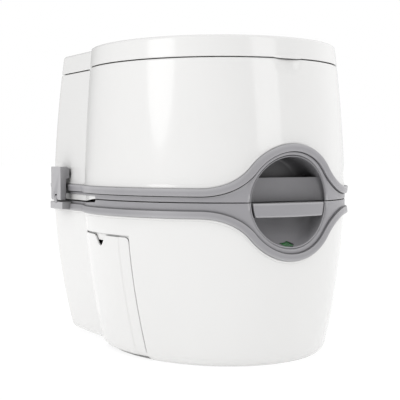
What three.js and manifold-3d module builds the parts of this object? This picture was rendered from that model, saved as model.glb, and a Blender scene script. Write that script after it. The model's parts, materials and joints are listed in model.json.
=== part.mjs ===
// Portable camp toilet: a waste tank with a slide valve below, a flush tank with bowl, seat and lid above.
// Millimetres, +Z up, front towards -Y, left and right symmetric about X = 0, floor at Z = 0.
import * as THREE from "three";
import { mergeVertices } from "three/addons/utils/BufferGeometryUtils.js";
import Module from "manifold-3d";

const wasm = await Module();
wasm.setup();

// Overall form
const HEIGHT = 448;
const WAIST = 225; // height at which the body is widest
const HALF_WIDTH = 190;
const FRONT = 217.5;
const ROUNDNESS = 2.07; // exponent of the front's superellipse; 2 would be a plain ellipse
const REAR = 207;
const WIDEST_Y = 5;
const CREASE_Y = 61; // the rounded front part ends here on each side
const CREASE_RUN = 9;
const CREASE_DROP = 8; // how far the side has curved in by the crease
const REAR_HALF_WIDTH = 174.5;
const REAR_CORNER = 10;
const BARREL_POWER = 1.75;
const TOP_FALL = { width: 12.5, front: 19.5, rear: 18.5 };
const BOTTOM_FALL = { width: 32, front: 27, rear: 33.5 };

// Walls and gaps
const WALL = 3;
const GAP = 0.4;
const LINER_WALL = 2;

// Heights
const SEAM = 224.5; // joint between the two tanks
const LID_SEAM = 417;
const WASTE_DECK = 196;
const FLUSH_FLOOR = 228;
const FLUSH_DECK = 399;
const DECK_THICK = 3.5;

// Trim bands and the round grip recess in their middle
const LIP_PROUD = 5.3;
const BAND_PROUD = 1;
const GRIP_RADIUS = 62;
const UPPER_BUMP = { outer: 78.3, inner: 68, band: 18.6 };
const LOWER_BUMP = { outer: 79.5, inner: 70, band: 20.8 };
const FILLET_X = 120; // where the swelling runs out into the straight band
const RECESS_DEPTH = 46;
const SHELF_HEIGHT = 33;
const SHELF_DEPTH = 24;

// Valve and bowl share one upright axis
const BOWL_Y = -20;
const OUTLET_RADIUS = 44;
const BLADE_BOTTOM = 208;
const BLADE_THICK = 4;
const STEM_HALF = 17;
const HANDLE_TOP = 223.5;
const HANDLE_BOTTOM = 204.5;

// Door and toilet-roll compartment, on the left (-X) side
const DOOR = { front: -72, rear: 60, bottom: 5.5, top: 174, notchY: -3, notchWidth: 36, notchDepth: 15 };
const DOOR_GAP = 1.8;
const DOOR_AXIS = { x: -148, z: 26 };
const ROLL_BOX = { inner: -66, front: -64, rear: 52, bottom: 38, top: 170 };
const ROLL_AXIS = { x: -122, z: 104 };

// Seat, lid and their common hinge
const HINGE_Y = 216;
const HINGE_Z = 416;
const HINGE_RADIUS = 6.8;
const PIN_RADIUS = 2.5;
const LID_GAP = 1.4;
const SEAT_BOTTOM = 407;
const SEAT_TOP = 421;
const SEAT_ARM_X = 54;

// Latches, one each side near the rear corners
const LATCH = { inner: 182.3, outer: 192.5, front: 131, rear: 169, top: 270, hook: 5.8 };
const LATCH_PIN_Z = 221.5;
const LATCH_FOOT = 3.4; // flat underside of the latch below its pin
const LATCH_SEAT = { inner: 173, bottom: 205, sill: 215.8, beyond: 5 };
const KNUCKLE = { front: 146, rear: 154, room: 5.7 }; // middle hinge eye; the latch is slotted round it
const LATCH_PIN_INSET = 3;

// Fittings
const GAUGE = { y: -160, z: 140 };
const SPOUT = { x: 96, y: 118, radius: 20 };
const FILLER = { x: 110, y: 150 }; // the pump stands at the same place on the other side
const NOZZLE = { y: 92, z: 388 };
const PIN_FIT = 0.3; // radial play of a hinge pin
const FAR = 300; // beyond every side of the body

const colours = {
  white: [0xf1f1ef, 0.22],
  grey: [0x8f8d94, 0.42],
  dark: [0x3a3a3e, 0.6],
  rubber: [0x1f1f21, 0.8],
  green: [0x2f9a46, 0.35],
  clear: [0xcfe6d4, 0.1],
  steel: [0xb9bcc0, 0.3],
};

function material(kind) {
  const [color, roughness] = colours[kind];
  return new THREE.MeshStandardMaterial({ color, roughness, metalness: kind === "steel" ? 1 : 0 });
}

// A closed three.js geometry as a solid that can be joined and cut.
function solid(geometry) {
  const bare = geometry.clone();
  bare.deleteAttribute("normal");
  bare.deleteAttribute("uv");
  const merged = mergeVertices(bare, 1e-4);
  const vertProperties = merged.attributes.position.array;
  const triVerts = new Uint32Array(merged.index.array);
  return new wasm.Manifold(new wasm.Mesh({ numProp: 3, vertProperties, triVerts }));
}

function toMesh(name, body, kind) {
  const data = body.getMesh();
  const geometry = new THREE.BufferGeometry();
  geometry.setAttribute("position", new THREE.BufferAttribute(data.vertProperties, 3));
  geometry.setIndex(new THREE.BufferAttribute(data.triVerts, 1));
  geometry.computeVertexNormals();
  const mesh = new THREE.Mesh(geometry, material(kind));
  mesh.name = name;
  return mesh;
}

// Basic shapes

function box(x0, x1, y0, y1, z0, z1) {
  const geometry = new THREE.BoxGeometry(x1 - x0, y1 - y0, z1 - z0);
  return solid(geometry.translate((x0 + x1) / 2, (y0 + y1) / 2, (z0 + z1) / 2));
}

function upright(radius, x, y, z0, z1, sides = 24, topRadius = radius) {
  const geometry = new THREE.CylinderGeometry(topRadius, radius, z1 - z0, sides);
  return solid(geometry.rotateX(Math.PI / 2).translate(x, y, (z0 + z1) / 2));
}

function alongY(radius, x, z, y0, y1, sides = 16) {
  const geometry = new THREE.CylinderGeometry(radius, radius, y1 - y0, sides);
  return solid(geometry.translate(x, (y0 + y1) / 2, z));
}

function alongX(radius, y, z, x0, x1, sides = 16) {
  const geometry = new THREE.CylinderGeometry(radius, radius, x1 - x0, sides);
  return solid(geometry.rotateZ(Math.PI / 2).translate((x0 + x1) / 2, y, z));
}

// A plate with the given X-Z outline, from y0 to y1. Outlines are drawn about the tank seam.
function frontPlate(shape, y0, y1, down = false) {
  const options = { depth: y1 - y0, bevelEnabled: false, curveSegments: 6 };
  const geometry = new THREE.ExtrudeGeometry(shape, options);
  geometry.rotateX(down ? -Math.PI / 2 : Math.PI / 2);
  return solid(geometry.translate(0, down ? y0 : y1, SEAM));
}

// A plate with the given Y-Z outline, from x0 to x1.
function sidePlate(points, x0, x1) {
  const shape = new THREE.Shape(points.map(([y, z]) => new THREE.Vector2(y, z)));
  const geometry = new THREE.ExtrudeGeometry(shape, { depth: x1 - x0, bevelEnabled: false });
  geometry.rotateY(Math.PI / 2).rotateX(Math.PI / 2);
  return solid(geometry.translate(x0, 0, 0));
}

function lathe(profile, y, sides = 30) {
  const geometry = new THREE.LatheGeometry(profile.map(([r, z]) => new THREE.Vector2(r, z)), sides);
  return solid(geometry.rotateX(Math.PI / 2).translate(0, y, 0));
}

function ring(outer, inner, y, z0, z1, x = 0, sides = 24) {
  return upright(outer, x, y, z0, z1, sides).subtract(upright(inner, x, y, z0 - 1, z1 + 1, sides));
}

// Body outline

function fall(z, amount) {
  const above = z > WAIST;
  const share = above ? (z - WAIST) / (HEIGHT - WAIST) : (WAIST - z) / WAIST;
  return (above ? TOP_FALL[amount] : BOTTOM_FALL[amount]) * share ** BARREL_POWER;
}

// Right half of the body's outline at height z, moved out by a distance, from front centre to rear.
function halfOutline(z, out) {
  const width = HALF_WIDTH - fall(z, "width") + out;
  const front = FRONT - fall(z, "front") + out;
  const rearWidth = REAR_HALF_WIDTH - fall(z, "rear") + out;
  const rear = REAR + out;
  const points = [];
  const frontSteps = 10;
  for (let i = 0; i <= frontSteps; i++) {
    const angle = ((i / frontSteps) * Math.PI) / 2;
    const across = Math.sin(angle) ** (2 / ROUNDNESS);
    const along = Math.cos(angle) ** (2 / ROUNDNESS);
    points.push([width * across, WIDEST_Y - (front + WIDEST_Y) * along]);
  }
  for (const share of [0.4, 0.7, 1]) {
    points.push([width - CREASE_DROP * share ** 2, WIDEST_Y + share * (CREASE_Y - WIDEST_Y)]);
  }
  points.push([rearWidth, CREASE_Y + CREASE_RUN]);
  const cornerSteps = 3;
  for (let i = 0; i <= cornerSteps; i++) {
    const angle = ((i / cornerSteps) * Math.PI) / 2;
    const dx = REAR_CORNER * (1 - Math.cos(angle));
    const dy = REAR_CORNER * (1 - Math.sin(angle));
    points.push([rearWidth - dx, rear - dy]);
  }
  return points;
}

function outline(z, out) {
  const right = halfOutline(z, out);
  const left = right.slice(1).reverse().map(([x, y]) => [-x, y]);
  return [...right, ...left];
}

// A closed body whose section at each [height, offset] level is the outline moved out by the offset.
function barrel(levels) {
  const rings = levels.map(([z, out]) => outline(z, out));
  const count = rings[0].length;
  const positions = rings.flatMap((points, i) => points.flatMap(([x, y]) => [x, y, levels[i][0]]));
  const index = [];
  for (let level = 0; level + 1 < rings.length; level++) {
    for (let i = 0; i < count; i++) {
      const a = level * count + i;
      const b = level * count + ((i + 1) % count);
      index.push(a, b, b + count, a, b + count, a + count);
    }
  }
  const bottom = rings[0].map(([x, y]) => new THREE.Vector2(x, y));
  const top = rings[rings.length - 1].map(([x, y]) => new THREE.Vector2(x, y));
  const start = (rings.length - 1) * count;
  for (const [a, b, c] of THREE.ShapeUtils.triangulateShape(bottom, [])) {
    index.push(a, c, b);
  }
  for (const [a, b, c] of THREE.ShapeUtils.triangulateShape(top, [])) {
    index.push(start + a, start + b, start + c);
  }
  const geometry = new THREE.BufferGeometry();
  geometry.setAttribute("position", new THREE.Float32BufferAttribute(positions, 3));
  geometry.setIndex(index);
  return solid(geometry);
}

function evenLevels(z0, z1, steps, out) {
  return Array.from({ length: steps + 1 }, (_, i) => [z0 + ((z1 - z0) * i) / steps, out]);
}

function hoop(z0, z1, steps, inner, outer) {
  const core = barrel(evenLevels(z0 - 0.5, z1 + 0.5, steps, inner));
  return barrel(evenLevels(z0, z1, steps, outer)).subtract(core);
}

// Front outline of the trim: a straight band with a round swelling over the grip recess.
function bumpShape(radius, band, start) {
  const far = 260;
  const rise = radius - band;
  const filletZ = (FILLET_X ** 2 - rise ** 2) / (2 * rise);
  const fillet = filletZ - band;
  const meet = Math.atan2(filletZ, FILLET_X);
  const shape = new THREE.Shape();
  shape.moveTo(far, start);
  shape.lineTo(far, band);
  shape.absarc(FILLET_X, filletZ, fillet, 1.5 * Math.PI, meet + Math.PI, true);
  shape.absarc(0, 0, radius, meet, Math.PI - meet, false);
  shape.absarc(-FILLET_X, filletZ, fillet, -meet, -0.5 * Math.PI, true);
  shape.lineTo(-far, band);
  shape.lineTo(-far, start);
  return shape;
}

// The swelling belongs to the front; along the sides and the back only the straight band is left.
function bumpPlate(radius, band, down, start = GAP) {
  const [z0, z1] = span(down ? -1 : 1, start, band);
  const front = frontPlate(bumpShape(radius, band, start), -FAR, -100, down);
  return front.add(box(-FAR, FAR, -101, FAR, z0, z1));
}

// Heights measured from the tank seam, upwards or downwards.
function span(side, near, far) {
  const ends = [SEAM + side * near, SEAM + side * far];
  return [Math.min(...ends), Math.max(...ends)];
}

function gripDisc(radius, y0, y1) {
  return alongY(radius, 0, SEAM, y0, y1, 36);
}

// Trim: a proud outer lip and an inner band let into the shell, with the grip recess cut through.
function trim(down) {
  const { outer, inner, band } = down ? LOWER_BUMP : UPPER_BUMP;
  const innerBand = band - (outer - inner);
  const [z0, z1] = span(down ? -1 : 1, -2, outer + 5);
  const lipShape = bumpPlate(outer, band, down).subtract(bumpPlate(inner - 1, innerBand - 1, down, -5));
  const lip = hoop(z0, z1, 3, GAP, LIP_PROUD).intersect(lipShape);
  const liner = hoop(z0, z1, 3, -WALL, BAND_PROUD).intersect(bumpPlate(inner, innerBand, down));
  return lip.add(liner).subtract(gripDisc(GRIP_RADIUS, -FAR, -100));
}

// The shells stop at the inner edge of the trims.
function shellTrimCut(down) {
  const { outer, inner, band } = down ? LOWER_BUMP : UPPER_BUMP;
  return bumpPlate(inner + GAP, band - (outer - inner) + GAP, down, -60);
}

function doorPoints(grow) {
  const { front, rear, bottom, top, notchY, notchWidth, notchDepth } = DOOR;
  const notch = [
    [notchY + notchWidth / 2, top + grow],
    [notchY + notchWidth / 4, top - notchDepth],
    [notchY - notchWidth / 4, top - notchDepth],
    [notchY - notchWidth / 2, top + grow],
  ];
  const corners = [
    [front - grow, top - 6 + grow],
    [front - grow, bottom - grow],
    [rear + grow, bottom - grow],
    [rear + grow, top + grow],
  ];
  return grow > 0 ? [[front - grow + 6, top + grow], ...corners] : [[front + 6, top], ...corners, ...notch];
}

// Waste tank

function lowerShell() {
  const outer = barrel([[0, -9], [5, -3.5], [14, 0], [60, 0], [110, 0], [165, 0], [222, 0]]);
  const inner = barrel([[WALL, -12], [14, -WALL], [60, -WALL], [110, -WALL], [165, -WALL], [224, -WALL]]);
  const raisedRear = box(-FAR, FAR, CREASE_Y, FAR, -1, 4.5);
  const rearFloor = box(-142, 142, CREASE_Y, REAR - 3, 4.5, 4.5 + WALL);
  const doorHole = sidePlate(doorPoints(DOOR_GAP), -FAR, -100);
  const floorHole = box(-FAR, -138, DOOR.front - DOOR_GAP, DOOR.rear + DOOR_GAP, -1, DOOR.bottom);
  return outer
    .subtract(inner)
    .subtract(raisedRear)
    .add(rearFloor)
    .subtract(shellTrimCut(true))
    .subtract(doorHole)
    .subtract(floorHole);
}

function rollCompartment() {
  const { inner, front, rear, bottom, top } = ROLL_BOX;
  const wall = LINER_WALL;
  const outerBox = box(-200, inner, front, rear, bottom, top);
  const space = box(-201, inner - wall, front + wall, rear - wall, bottom + wall, top - wall);
  const tray = outerBox.subtract(space).intersect(barrel(evenLevels(5, 215, 5, -WALL - 1.5)));
  return tray.add(hingeEar(front + 9)).add(hingeEar(rear - 10));
}

// Ear under the compartment that holds one end of the door's hinge pin
function hingeEar(y) {
  const { x, z } = DOOR_AXIS;
  const block = box(x - 3.2, x + 5, y, y + 5, z - 4, ROLL_BOX.bottom + 1);
  return block.subtract(alongY(2.2, x, z, y - 1, y + 7));
}

function rollSpindle() {
  const { front, rear } = ROLL_BOX;
  const rod = alongY(6, ROLL_AXIS.x, ROLL_AXIS.z, front + 9, rear - 9);
  const ends = alongY(2.5, ROLL_AXIS.x, ROLL_AXIS.z, front + 4, rear - 4);
  return rod.add(ends);
}

function spindleBracket(y, side) {
  const { x, z } = ROLL_AXIS;
  const [y0, y1] = [y, y - side * 3].sort((a, b) => a - b);
  return box(x - 8, x + 8, y0, y1, z - 9, z + 9).subtract(alongY(2.6, x, z, y - 10, y + 10));
}

function doorPanel() {
  const skin = hoop(1, 190, 6, -WALL, 0).intersect(sidePlate(doorPoints(0), -FAR, -100));
  const ears = doorEar(DOOR.front + 24).add(doorEar(DOOR.rear - 32));
  const inside = barrel(evenLevels(1, 190, 6, -WALL / 2));
  const bore = alongY(2.4, DOOR_AXIS.x, DOOR_AXIS.z, DOOR.front, DOOR.rear);
  return skin.add(ears.intersect(inside)).subtract(bore);
}

function doorEar(y) {
  const { x, z } = DOOR_AXIS;
  return box(x - 12, x + 4, y, y + 8, z - 6, z + 6);
}

function doorPin() {
  return alongY(2, DOOR_AXIS.x, DOOR_AXIS.z, ROLL_BOX.front + 4, ROLL_BOX.rear - 4);
}

function wasteDeck() {
  const plate = barrel(evenLevels(WASTE_DECK, WASTE_DECK + DECK_THICK, 1, -WALL - 1));
  const cupRoom = box(-72, 72, -FAR, -(FRONT - RECESS_DEPTH - 8), WASTE_DECK - 2, WASTE_DECK + 6);
  return plate.subtract(cupRoom).subtract(upright(OUTLET_RADIUS, 0, BOWL_Y, 190, 205));
}

function valveHousing() {
  const low = WASTE_DECK + DECK_THICK + GAP;
  const high = BLADE_BOTTOM + BLADE_THICK + 6;
  const body = box(-66, 66, -150, 46, low, high);
  const track = box(-54, 54, -152, 34, BLADE_BOTTOM - GAP, BLADE_BOTTOM + BLADE_THICK + GAP);
  const bore = upright(OUTLET_RADIUS, 0, BOWL_Y, low - 1, high + 1);
  const groove = upright(OUTLET_RADIUS + 6, 0, BOWL_Y, BLADE_BOTTOM + BLADE_THICK, high + 1);
  return body.subtract(track).subtract(bore).subtract(groove);
}

function valveSeal() {
  const low = BLADE_BOTTOM + BLADE_THICK + GAP;
  return ring(OUTLET_RADIUS + 5.5, OUTLET_RADIUS + 1, BOWL_Y, low, low + 5.6);
}

function valveBlade() {
  const plate = box(-50, 50, BOWL_Y - 50, BOWL_Y + 2, BLADE_BOTTOM, BLADE_BOTTOM + BLADE_THICK);
  const tip = upright(50, 0, BOWL_Y, BLADE_BOTTOM, BLADE_BOTTOM + BLADE_THICK);
  const [low, high] = [BLADE_BOTTOM, BLADE_BOTTOM + BLADE_THICK];
  const stem = box(-STEM_HALF, STEM_HALF, -FRONT + 24, BOWL_Y - 48, low, high);
  return plate.add(tip).add(stem);
}

function valveHandle() {
  const bar = box(-80, 80, -FAR, -FRONT + 22, HANDLE_BOTTOM, HANDLE_TOP);
  const front = barrel(evenLevels(HANDLE_BOTTOM - 1, HANDLE_TOP + 1, 1, -1.5));
  const reach = STEM_HALF + GAP;
  const bladeTop = BLADE_BOTTOM + BLADE_THICK;
  const socket = box(-reach, reach, -FRONT + 12, -100, BLADE_BOTTOM - GAP, bladeTop + GAP);
  return bar.intersect(front).intersect(gripDisc(GRIP_RADIUS - 3.4, -FAR, -100)).subtract(socket);
}

// Grip cups: round pockets behind the trim, open to the front.
function lowerCup() {
  const backY = -(FRONT - RECESS_DEPTH);
  const half = box(-80, 80, -FAR, 0, SEAM - 80, SEAM - GAP);
  const outer = gripDisc(GRIP_RADIUS - GAP, -FAR, backY).intersect(half);
  const space = box(-80, 80, -FAR, 0, SEAM - 80, SEAM + 1);
  const open = gripDisc(GRIP_RADIUS - 3, -FAR, backY - 2.5).intersect(space);
  const scoop = scoopWedge(backY);
  const slot = box(-19, 19, -FAR, 0, BLADE_BOTTOM - 1.5, BLADE_BOTTOM + BLADE_THICK + 1.5);
  const windowHole = box(-13, 13, -211, -202, 155, 172);
  const front = barrel(evenLevels(150, SEAM, 2, -0.6));
  return outer.subtract(open.subtract(scoop)).intersect(front).subtract(slot).subtract(windowHole);
}

// The lower cup's sloping floor rises from the front lip to the back wall.
function scoopWedge(backY) {
  const lip = -FRONT + 6;
  const low = SEAM - GRIP_RADIUS;
  const points = [[backY, low - 2], [backY, low + 44]];
  const steps = 6;
  for (let i = 1; i <= steps; i++) {
    const angle = ((i / steps) * Math.PI) / 2;
    points.push([lip + (backY - lip) * Math.cos(angle) ** 1.2, low + 2 + 42 * (1 - Math.sin(angle))]);
  }
  points.push([lip, low - 2]);
  return sidePlate(points, -80, 80);
}

function indicatorWindow() {
  return box(-12.6, 12.6, -210.6, -202.4, 163.6, 166.4);
}

function upperCup() {
  const backY = -(FRONT - RECESS_DEPTH);
  const half = box(-80, 80, -FAR, 0, SEAM + GAP, SEAM + 80);
  const outer = gripDisc(GRIP_RADIUS - GAP, -FAR, backY).intersect(half);
  const open = gripDisc(GRIP_RADIUS - 3, -FAR, backY - 2.5);
  const shelf = box(-80, 80, -FRONT + SHELF_DEPTH, 0, SEAM - 5, SEAM + SHELF_HEIGHT);
  const shelfHollow = box(-50, 50, -FRONT + SHELF_DEPTH + 2.5, 0, SEAM - 6, SEAM + SHELF_HEIGHT - 2.5);
  const front = barrel(evenLevels(SEAM, FAR, 2, -0.6));
  return outer.subtract(open.subtract(shelf)).intersect(front).subtract(shelfHollow);
}

// Level gauge: a float on a lever lowers the green flag behind the window as the tank fills.
function gaugeFlag() {
  const tab = box(-11, 11, -206, -192, 150, 153);
  const stalk = box(-3, 3, -196, -190, 138, 151);
  const arm = box(-3, 3, -194, GAUGE.y + 6, 137, 143);
  return tab.add(stalk).add(arm).subtract(alongX(2.4, GAUGE.y, GAUGE.z, -10, 10));
}

function gaugeFloat() {
  const rod = box(-2, 2, GAUGE.y + 6 + GAP, -118, 138, 142);
  return rod.add(box(-16, 16, -120, -90, 126, 154));
}

function gaugePin() {
  return alongX(2, GAUGE.y, GAUGE.z, -11, 11);
}

function gaugeBracket() {
  const cheek = (x0, x1) => box(x0, x1, GAUGE.y - 6, GAUGE.y + 6, 134, WASTE_DECK - GAP);
  const bridge = box(-9, 9, GAUGE.y - 6, GAUGE.y + 6, WASTE_DECK - 8, WASTE_DECK - GAP);
  return cheek(-9, -5).add(cheek(5, 9)).add(bridge).subtract(alongX(2.3, GAUGE.y, GAUGE.z, -20, 20));
}

// Pour-out spout, stowed on the deck behind the valve
function pourSpout() {
  const low = WASTE_DECK + DECK_THICK + GAP;
  const neck = upright(SPOUT.radius, SPOUT.x, SPOUT.y, low, low + 12);
  const flange = upright(SPOUT.radius + 7, SPOUT.x, SPOUT.y, low, low + 3);
  return neck.add(flange).subtract(upright(SPOUT.radius - 3, SPOUT.x, SPOUT.y, low - 1, low + 20));
}

function spoutCap() {
  const low = WASTE_DECK + DECK_THICK + GAP + 12.4;
  const skirt = ring(SPOUT.radius + 4, SPOUT.radius + GAP, SPOUT.y, low - 8, low + 1, SPOUT.x);
  const grip = box(SPOUT.x - 3, SPOUT.x + 3, SPOUT.y - 20, SPOUT.y + 20, low + 2, low + 8);
  return skirt.add(upright(SPOUT.radius + 4, SPOUT.x, SPOUT.y, low, low + 3)).add(grip);
}

// Flush tank

function upperShell() {
  const top = LID_SEAM - LID_GAP / 2;
  const outer = barrel(evenLevels(SEAM + 2, top, 4, 0));
  const inner = barrel(evenLevels(SEAM, top + 2, 4, -WALL));
  const armNotches = [-1, 1].map((side) => armNotch(side));
  return outer
    .subtract(inner)
    .subtract(shellTrimCut(false))
    .subtract(scoopUnderLid())
    .subtract(armNotches[0])
    .subtract(armNotches[1]);
}

// Notch in the rear rim for one seat arm
function armNotch(side) {
  const x = side * SEAT_ARM_X;
  return box(x - 9, x + 9, REAR - 8, REAR + 5, SEAT_BOTTOM + 5.5, LID_SEAM + 5);
}

// Shallow dish under the lid's finger tab
function scoopUnderLid() {
  const geometry = new THREE.SphereGeometry(34, 24, 16);
  return solid(geometry.scale(0.62, 0.3, 0.62).translate(0, -FRONT + 6.4, LID_SEAM - 3));
}

function flushFloor() {
  const plate = barrel(evenLevels(FLUSH_FLOOR, FLUSH_FLOOR + DECK_THICK, 1, -WALL - 1));
  const cupRoom = box(-72, 72, -FAR, -(FRONT - RECESS_DEPTH - 8), FLUSH_FLOOR - 2, FLUSH_FLOOR + 6);
  return plate.subtract(cupRoom).subtract(upright(OUTLET_RADIUS + 5, 0, BOWL_Y, 220, 240));
}

function bowl() {
  const z = FLUSH_DECK + DECK_THICK + GAP;
  const outlet = OUTLET_RADIUS - 2;
  const profile = [
    [outlet, 223], [outlet + 3, 223], [outlet + 3, 246], [66, 262], [96, 300], [113, 350],
    [118.5, z], [127, z], [127, z + 2.5], [117, z + 2.5], [110, 350], [93, 301], [63, 264], [outlet, 248],
    [outlet, 223],
  ];
  return lathe(profile, BOWL_Y).subtract(alongY(5.1, 0, NOZZLE.z, 80, 120));
}

function outletSeal() {
  return ring(OUTLET_RADIUS + 4.6, OUTLET_RADIUS + 2, BOWL_Y, 219.2, 227.2);
}

function flushDeck() {
  const plate = barrel(evenLevels(FLUSH_DECK, FLUSH_DECK + DECK_THICK, 1, -WALL - 1));
  const hole = upright(121, 0, BOWL_Y, 380, 420, 30);
  const fillerHole = upright(24, FILLER.x, FILLER.y, 380, 420);
  const buttonHole = upright(20.5, -FILLER.x, FILLER.y, 380, 420);
  return plate.subtract(hole).subtract(fillerHole).subtract(buttonHole);
}

function fillerNeck() {
  const deck = FLUSH_DECK + DECK_THICK;
  const tube = ring(23.5, 21, FILLER.y, FLUSH_DECK - 22, deck + 2, FILLER.x);
  const flange = ring(29, 23, FILLER.y, deck + GAP, deck + 2, FILLER.x);
  return tube.add(flange);
}

function fillerCap() {
  const low = FLUSH_DECK + DECK_THICK + 2 + GAP;
  const disc = upright(28, FILLER.x, FILLER.y, low, low + 4);
  const plug = upright(20.4, FILLER.x, FILLER.y, low - 12, low + 1);
  const grip = box(FILLER.x - 20, FILLER.x + 20, FILLER.y - 2.5, FILLER.y + 2.5, low + 3, low + 9);
  return disc.add(plug).add(grip);
}

function pumpBody() {
  const top = FLUSH_DECK + DECK_THICK;
  const tube = upright(20, -FILLER.x, FILLER.y, 262, top + 1);
  const bore = upright(17.4, -FILLER.x, FILLER.y, 265, top + 4);
  const flange = ring(26, 19, FILLER.y, top + GAP, top + 2.4, -FILLER.x);
  return tube.subtract(bore).add(flange);
}

function pumpPiston() {
  const rod = upright(3, -FILLER.x, FILLER.y, FAR, FLUSH_DECK + DECK_THICK - 2, 16);
  return rod.add(upright(16.8, -FILLER.x, FILLER.y, 292, 301));
}

function flushButton() {
  const top = FLUSH_DECK + DECK_THICK;
  return upright(16.6, -FILLER.x, FILLER.y, top - 1.6, top + 12, 24, 15);
}

function flushPipe() {
  const start = new THREE.Vector3(-FILLER.x + 23, FILLER.y, 268);
  const points = [
    start,
    new THREE.Vector3(-40, 162, 285),
    new THREE.Vector3(-8, 158, 340),
    new THREE.Vector3(0, 138, 382),
    new THREE.Vector3(0, NOZZLE.y + 19, NOZZLE.z),
  ];
  const circle = new THREE.Shape().absarc(0, 0, 4.5, 0, 2 * Math.PI, false);
  const curve = new THREE.CatmullRomCurve3(points);
  return solid(new THREE.ExtrudeGeometry(circle, { steps: 14, extrudePath: curve, curveSegments: 6 }));
}

// Block inside the bowl's rear wall that spreads the rinse water; its stub passes through the wall.
function flushNozzle() {
  const { y, z } = NOZZLE;
  const block = box(-14, 14, y - 12, y, z - 5, z + 5);
  const slot = box(-11, 11, y - 13, y - 4, z - 6, z + 1);
  return block.add(alongY(4.6, 0, z, y - 1, y + 18)).subtract(slot);
}

// Seat and lid

function seat() {
  const body = barrel(evenLevels(SEAT_BOTTOM, SEAT_TOP, 1, -12));
  const hole = upright(112, 0, BOWL_Y, SEAT_BOTTOM - 5, SEAT_TOP + 5, 30);
  const hollow = barrel(evenLevels(SEAT_BOTTOM - 5, SEAT_TOP - 4, 1, -15));
  const core = upright(115, 0, BOWL_Y, 380, 430, 30);
  const rearCut = box(-FAR, FAR, 112, FAR, 380, 440);
  const arms = [-1, 1].map((side) => seatArm(side));
  const plate = body.subtract(hole).subtract(rearCut).subtract(hollow.subtract(core));
  const closing = box(-142, 142, 108.5, 112, SEAT_BOTTOM, SEAT_TOP);
  return plate.add(closing).add(arms[0]).add(arms[1]).subtract(hingeBore());
}

function hingeBore() {
  return alongX(PIN_RADIUS + PIN_FIT, HINGE_Y, HINGE_Z, -200, 200);
}

function seatArm(side) {
  const x0 = side * SEAT_ARM_X - 8;
  const x1 = side * SEAT_ARM_X + 8;
  const bar = box(x0, x1, 110, HINGE_Y - 2, SEAT_BOTTOM + 6.5, SEAT_TOP);
  const eye = alongX(HINGE_RADIUS - 0.4, HINGE_Y, HINGE_Z, x0, x1);
  return bar.add(eye);
}

function lid() {
  const low = LID_SEAM + LID_GAP / 2;
  const outer = barrel([[low, 0], [low + 15, 0], [HEIGHT - 5, -0.2], [HEIGHT - 1.5, -0.9], [HEIGHT, -3]]);
  const inner = barrel([[low - 1, -WALL], [HEIGHT - 6, -WALL - 1], [HEIGHT - WALL, -WALL - 4]]);
  const tab = fingerTab(low);
  const eyes = [-1, 1].map((side) => lidEye(side));
  const armRoom = [-1, 1].map((side) => armSlot(side));
  return outer
    .subtract(inner)
    .add(tab)
    .subtract(armRoom[0])
    .subtract(armRoom[1])
    .add(eyes[0])
    .add(eyes[1])
    .subtract(hingeBore());
}

// Room in the lid's rear wall for a seat arm and the lug beside it
function armSlot(side) {
  const x = side * 60;
  return box(x - 17, x + 17, REAR - 8, REAR + 20, 400, 428);
}

function lidEye(side) {
  const [x0, x1] = side > 0 ? [78.5, 92] : [-92, -78.5];
  const bar = box(x0, x1, REAR - 2, HINGE_Y, LID_SEAM + 1, HINGE_Z + HINGE_RADIUS);
  return bar.add(alongX(HINGE_RADIUS, HINGE_Y, HINGE_Z, x0, x1));
}

function fingerTab(low) {
  return box(-19.5, 19.5, -FRONT + 10, -FRONT + 17.5, low, low + 3).intersect(
    barrel(evenLevels(LID_SEAM - 8, LID_SEAM + 8, 1, 1.4)),
  );
}

// Hinge lugs stand on the flush tank's rear wall, between the seat arms and the lid's eyes.
function hingeLug(side) {
  const [x0, x1] = side > 0 ? [63, 77.5] : [-77.5, -63];
  const foot = box(x0, x1, REAR + GAP, REAR + 5, 372, HINGE_Z);
  const arm = box(x0, x1, REAR + GAP, HINGE_Y, HINGE_Z - 14, HINGE_Z);
  const eye = alongX(HINGE_RADIUS, HINGE_Y, HINGE_Z, x0, x1);
  return foot.add(arm).add(eye).subtract(hingeBore());
}

function hingePin(side) {
  const [x0, x1] = side > 0 ? [45, 93] : [-93, -45];
  return alongX(PIN_RADIUS, HINGE_Y, HINGE_Z, x0, x1);
}

// Rubber foot under the seat ring, resting on the flush tank's deck
function seatBumper(side) {
  return upright(6, side * 140, BOWL_Y, FLUSH_DECK + DECK_THICK + GAP, SEAT_TOP - 4 - GAP, 16);
}

// Latches

// An upright bar, slotted at its foot for the knuckle, with a hook that reaches over the flush tank's lip.
function latch(side) {
  const { inner, outer, front, rear, top, hook } = LATCH;
  const radius = (outer - inner) / 2;
  const steps = 6;
  const foot = Array.from({ length: steps + 1 }, (_, i) => {
    const angle = Math.PI * (1 + i / steps);
    const drop = Math.max(radius * Math.sin(angle), -LATCH_FOOT);
    return [latchPinX() + radius * Math.cos(angle), LATCH_PIN_Z + drop];
  });
  const head = [
    [outer, top],
    [inner - hook, top - 2],
    [inner - hook, top - 15],
    [inner, top - 19.5],
  ];
  const points = [...foot, ...head];
  const shape = new THREE.Shape(points.map(([x, z]) => new THREE.Vector2(side * x, z - SEAM)));
  return frontPlate(shape, front, rear).subtract(knuckleRoom(side)).subtract(latchBore(side));
}

function knuckleRoom(side) {
  const x = side * latchPinX();
  const [y0, y1] = [KNUCKLE.front - GAP, KNUCKLE.rear + GAP];
  return box(x - 20, x + 20, y0, y1, LATCH_SEAT.bottom, LATCH_PIN_Z + KNUCKLE.room);
}

function latchBore(side) {
  const [y0, y1] = [LATCH.front + LATCH_PIN_INSET - GAP, LATCH.rear - LATCH_PIN_INSET + GAP];
  return alongY(2 + PIN_FIT, side * latchPinX(), LATCH_PIN_Z, y0, y1);
}

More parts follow.
